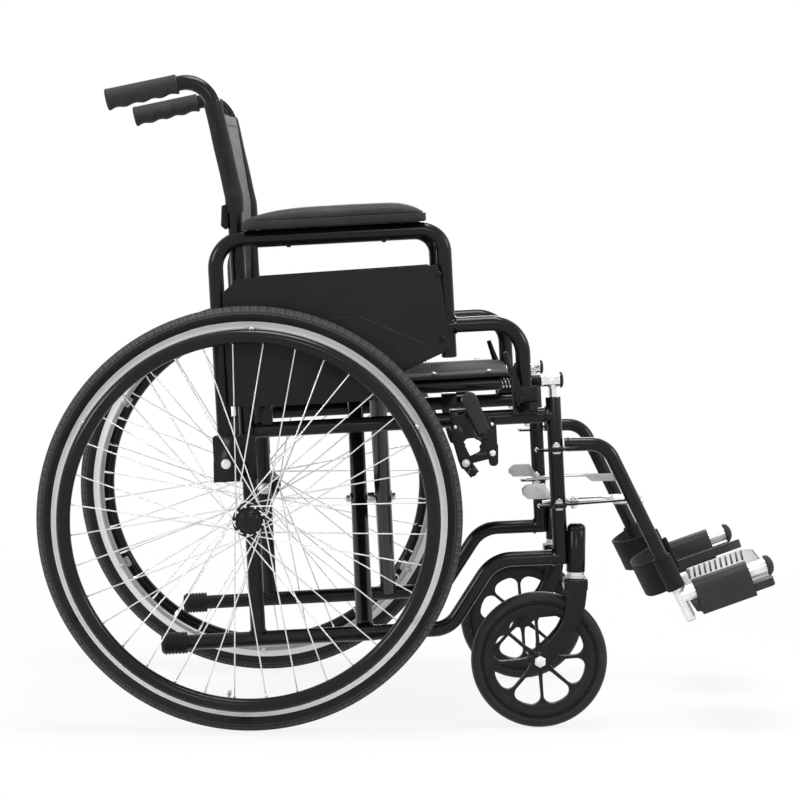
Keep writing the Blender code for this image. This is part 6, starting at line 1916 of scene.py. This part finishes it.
def lamps(looks):
    for name, spot, aim_z, size, power, share in LAMPS:
        lamp = bpy.data.lights.new(name, 'AREA')
        lamp.shape = 'SQUARE'
        lamp.size = size
        lamp.energy = getattr(looks, power) * share
        holder = linked(name, lamp)
        holder.location = spot
        line = Vector((0.0, 0.0, aim_z)) - Vector(spot)
        holder.rotation_euler = line.to_track_quat('-Z', 'Y').to_euler()


def seen_directly(tree):
    """Output that is 1 for camera, glossy and transmission rays and 0 for the others."""
    rays = tree.nodes.new("ShaderNodeLightPath").outputs
    shown = rays["Is Camera Ray"]
    for kind in ("Is Glossy Ray", "Is Transmission Ray"):
        shown = add_node(tree, "ShaderNodeMath", {"operation": 'MAXIMUM'},
                         {0: shown, 1: rays[kind]}).outputs[0]
    return shown


def room(looks):
    """White behind everything, and a softer light of the same room on the object."""
    world = bpy.data.worlds.new("studio")
    world.use_nodes = True
    bpy.context.scene.world = world
    tree = world.node_tree
    level = add_node(tree, "ShaderNodeMapRange", {},
                     {"Value": seen_directly(tree), "To Min": looks.room, "To Max": 1.0})
    shade = tree.nodes["Background"].inputs
    shade["Color"].default_value = (1.0, 1.0, 1.0, 1.0)
    tree.links.new(level.outputs[0], shade["Strength"])


def floor():
    """Pale floor that fades into the white of the room."""
    form = Form()
    form.bm.faces.new([form.bm.verts.new(p) for p in circle(ORIGIN, X_DIR, Y_DIR, FLOOR_R, 64)])
    ob = mesh_piece(form.bm, "floor")
    mat = bpy.data.materials.new("pale_floor")
    mat.use_nodes = True
    tree = mat.node_tree
    base = tree.nodes["Principled BSDF"]
    base.inputs["Base Color"].default_value = (0.90, 0.90, 0.90, 1.0)
    base.inputs["Roughness"].default_value = 0.9
    base.inputs["Specular IOR Level"].default_value = 0.1
    place = tree.nodes.new("ShaderNodeTexCoord").outputs["Object"]
    out = add_node(tree, "ShaderNodeVectorMath", {"operation": 'LENGTH'}, {0: place}).outputs["Value"]
    fade = add_node(tree, "ShaderNodeMapRange", {"interpolation_type": 'SMOOTHSTEP'}, {
        "Value": out, "From Min": 0.9, "From Max": 2.2, "To Min": 0.86, "To Max": 1.0}).outputs[0]
    share = add_node(tree, "ShaderNodeMath", {"operation": 'MULTIPLY'},
                     {0: seen_directly(tree), 1: fade}).outputs[0]
    glow = tree.nodes.new("ShaderNodeEmission").outputs[0]
    blend = add_node(tree, "ShaderNodeMixShader", {}, {0: share, 1: base.outputs[0], 2: glow})
    tree.links.new(blend.outputs[0], tree.nodes["Material Output"].inputs["Surface"])
    ob.data.materials.append(mat)


def stage(looks):
    bpy.context.scene.view_settings.view_transform = 'Standard'
    camera()
    lamps(looks)
    room(looks)
    floor()


# ---- add-on


def count(label, about, default, low, high):
    return bpy.props.IntProperty(name=label, description=about, default=default, min=low, max=high)


def size(label, about, default, low, high):
    return bpy.props.FloatProperty(name=label, description=about, default=default, min=low, max=high,
                                   unit='LENGTH', precision=4)


def colour(label, about, default):
    return bpy.props.FloatVectorProperty(name=label, description=about, default=default, min=0.0,
                                         max=1.0, subtype='COLOR')


def strength(label, about, default):
    return bpy.props.FloatProperty(name=label, description=about, default=default)


class WheelchairSizes(bpy.types.PropertyGroup):
    tread_blocks: count("Tread blocks", "Blocks round each rear tyre", 444, 60, 600)
    tread_depth: size("Tread depth", "Depth of the tread's grooves", 0.0009, 0.0, 0.003)
    spokes_a_side: count("Spokes a side", "Spokes on each hub flange", 18, 8, 24)
    spoke_radius: size("Spoke radius", "Radius of a spoke", 0.0010, 0.0005, 0.002)
    handrim_tube: size("Handrim tube", "Radius of the handrim's tube", 0.0100, 0.006, 0.012)


class WheelchairLooks(bpy.types.PropertyGroup):
    paint: colour("Paint", "Frame paint", (0.0060, 0.0060, 0.0064))
    plastic: colour("Plastic", "Moulded black plastic", (0.0095, 0.0095, 0.0098))
    cloth: colour("Cloth", "Seat and back nylon", (0.016, 0.016, 0.017))
    tyre: colour("Tyre", "Rear tyre rubber", (0.013, 0.013, 0.013))
    alloy: colour("Alloy", "Rear rim", (0.88, 0.88, 0.88))
    chrome: colour("Chrome", "Bright plating", (0.80, 0.80, 0.81))
    zinc: colour("Zinc", "Zinc plating", (0.62, 0.62, 0.63))
    overhead: strength("Overhead", "Power of the lamp above", 42.0)
    side: strength("Sides", "Power of the side lamps", 24.0)
    rear: strength("Rear", "Power of the lamp behind", 20.0)
    fill: strength("Fill", "Power of the lamp by the camera", 10.0)
    room: strength("Room", "Brightness of the room as the object sees it", 0.35)


def on_both_sides(*makers):
    for side, sg in SIDES:
        for make in makers:
            make(side, sg)


class WHEELCHAIR_OT_stage(bpy.types.Operator):
    """Camera, lamps, room and floor"""
    bl_idname = "wheelchair.stage"
    bl_label = "Stage"

    def execute(self, context):
        stage(context.scene.wheelchair_looks)
        return {'FINISHED'}


class WHEELCHAIR_OT_frames(bpy.types.Operator):
    """Side frames, braces, seat rails, tipping caps and grips"""
    bl_idname = "wheelchair.frames"
    bl_label = "Frames"

    def execute(self, context):
        on_both_sides(side_frame, tipping_cap, hand_grip, seat_rail_guide)
        brace("brace_a", -1, 0.155)
        brace("brace_b", 1, 0.192)
        brace_bolt()
        return {'FINISHED'}


class WHEELCHAIR_OT_wheels(bpy.types.Operator):
    """Tyres, rims, spokes, hubs and handrims"""
    bl_idname = "wheelchair.wheels"
    bl_label = "Rear wheels"

    def execute(self, context):
        sizes = context.scene.wheelchair_sizes
        for side, sg in SIDES:
            rear_tyre(side, sg, sizes)
            rear_rim(side, sg)
            rear_spokes(side, sg, sizes)
            hub(side, sg)
            handrim(side, sg, sizes)
        return {'FINISHED'}


class WHEELCHAIR_OT_casters(bpy.types.Operator):
    """Caster wheels and forks"""
    bl_idname = "wheelchair.casters"
    bl_label = "Casters"

    def execute(self, context):
        on_both_sides(caster, caster_fork)
        return {'FINISHED'}


class WHEELCHAIR_OT_armrests(bpy.types.Operator):
    """Armrest tubes, pads, panels and sockets"""
    bl_idname = "wheelchair.armrests"
    bl_label = "Armrests"

    def execute(self, context):
        on_both_sides(armrest_frame, armrest_pad, side_panel, arm_socket)
        return {'FINISHED'}


class WHEELCHAIR_OT_locks(bpy.types.Operator):
    """Wheel lock brackets, levers and shoes"""
    bl_idname = "wheelchair.locks"
    bl_label = "Wheel locks"

    def execute(self, context):
        on_both_sides(wheel_lock)
        return {'FINISHED'}


class WHEELCHAIR_OT_legrests(bpy.types.Operator):
    """Hangers, posts, footplates and heel loops"""
    bl_idname = "wheelchair.legrests"
    bl_label = "Leg rests"

    def execute(self, context):
        on_both_sides(hanger, footrest_post, footplate, heel_loop)
        return {'FINISHED'}


class WHEELCHAIR_OT_upholstery(bpy.types.Operator):
    """Seat and back slings"""
    bl_idname = "wheelchair.upholstery"
    bl_label = "Upholstery"

    def execute(self, context):
        seat()
        back()
        return {'FINISHED'}


OPERATORS = (WHEELCHAIR_OT_stage, WHEELCHAIR_OT_frames, WHEELCHAIR_OT_wheels,
             WHEELCHAIR_OT_casters, WHEELCHAIR_OT_armrests, WHEELCHAIR_OT_locks,
             WHEELCHAIR_OT_legrests, WHEELCHAIR_OT_upholstery)


class WHEELCHAIR_PT_panel(bpy.types.Panel):
    """Sizes, looks and builders of the wheelchair"""
    bl_label = "Wheelchair"
    bl_idname = "WHEELCHAIR_PT_panel"
    bl_space_type = 'VIEW_3D'
    bl_region_type = 'UI'
    bl_category = "Wheelchair"

    def draw(self, context):
        for group in (context.scene.wheelchair_sizes, context.scene.wheelchair_looks):
            for key in group.bl_rna.properties.keys():
                if key not in ("rna_type", "name"):
                    self.layout.prop(group, key)
        for made in OPERATORS:
            self.layout.operator(made.bl_idname)


CLASSES = (WheelchairSizes, WheelchairLooks, *OPERATORS, WHEELCHAIR_PT_panel)


def register():
    for cls in CLASSES:
        bpy.utils.register_class(cls)
    bpy.types.Scene.wheelchair_sizes = bpy.props.PointerProperty(type=WheelchairSizes)
    bpy.types.Scene.wheelchair_looks = bpy.props.PointerProperty(type=WheelchairLooks)


def unregister():
    del bpy.types.Scene.wheelchair_looks
    del bpy.types.Scene.wheelchair_sizes
    for cls in reversed(CLASSES):
        bpy.utils.unregister_class(cls)


def main():
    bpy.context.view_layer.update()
    register()
    make_finishes(bpy.context.scene.wheelchair_looks)
    make_shapes()
    for made in OPERATORS:
        group, name = made.bl_idname.split(".")
        getattr(getattr(bpy.ops, group), name)()
    for shape in SHAPES.values():
        bpy.data.objects.remove(shape, do_unlink=True)


if __name__ == "__main__":
    main()
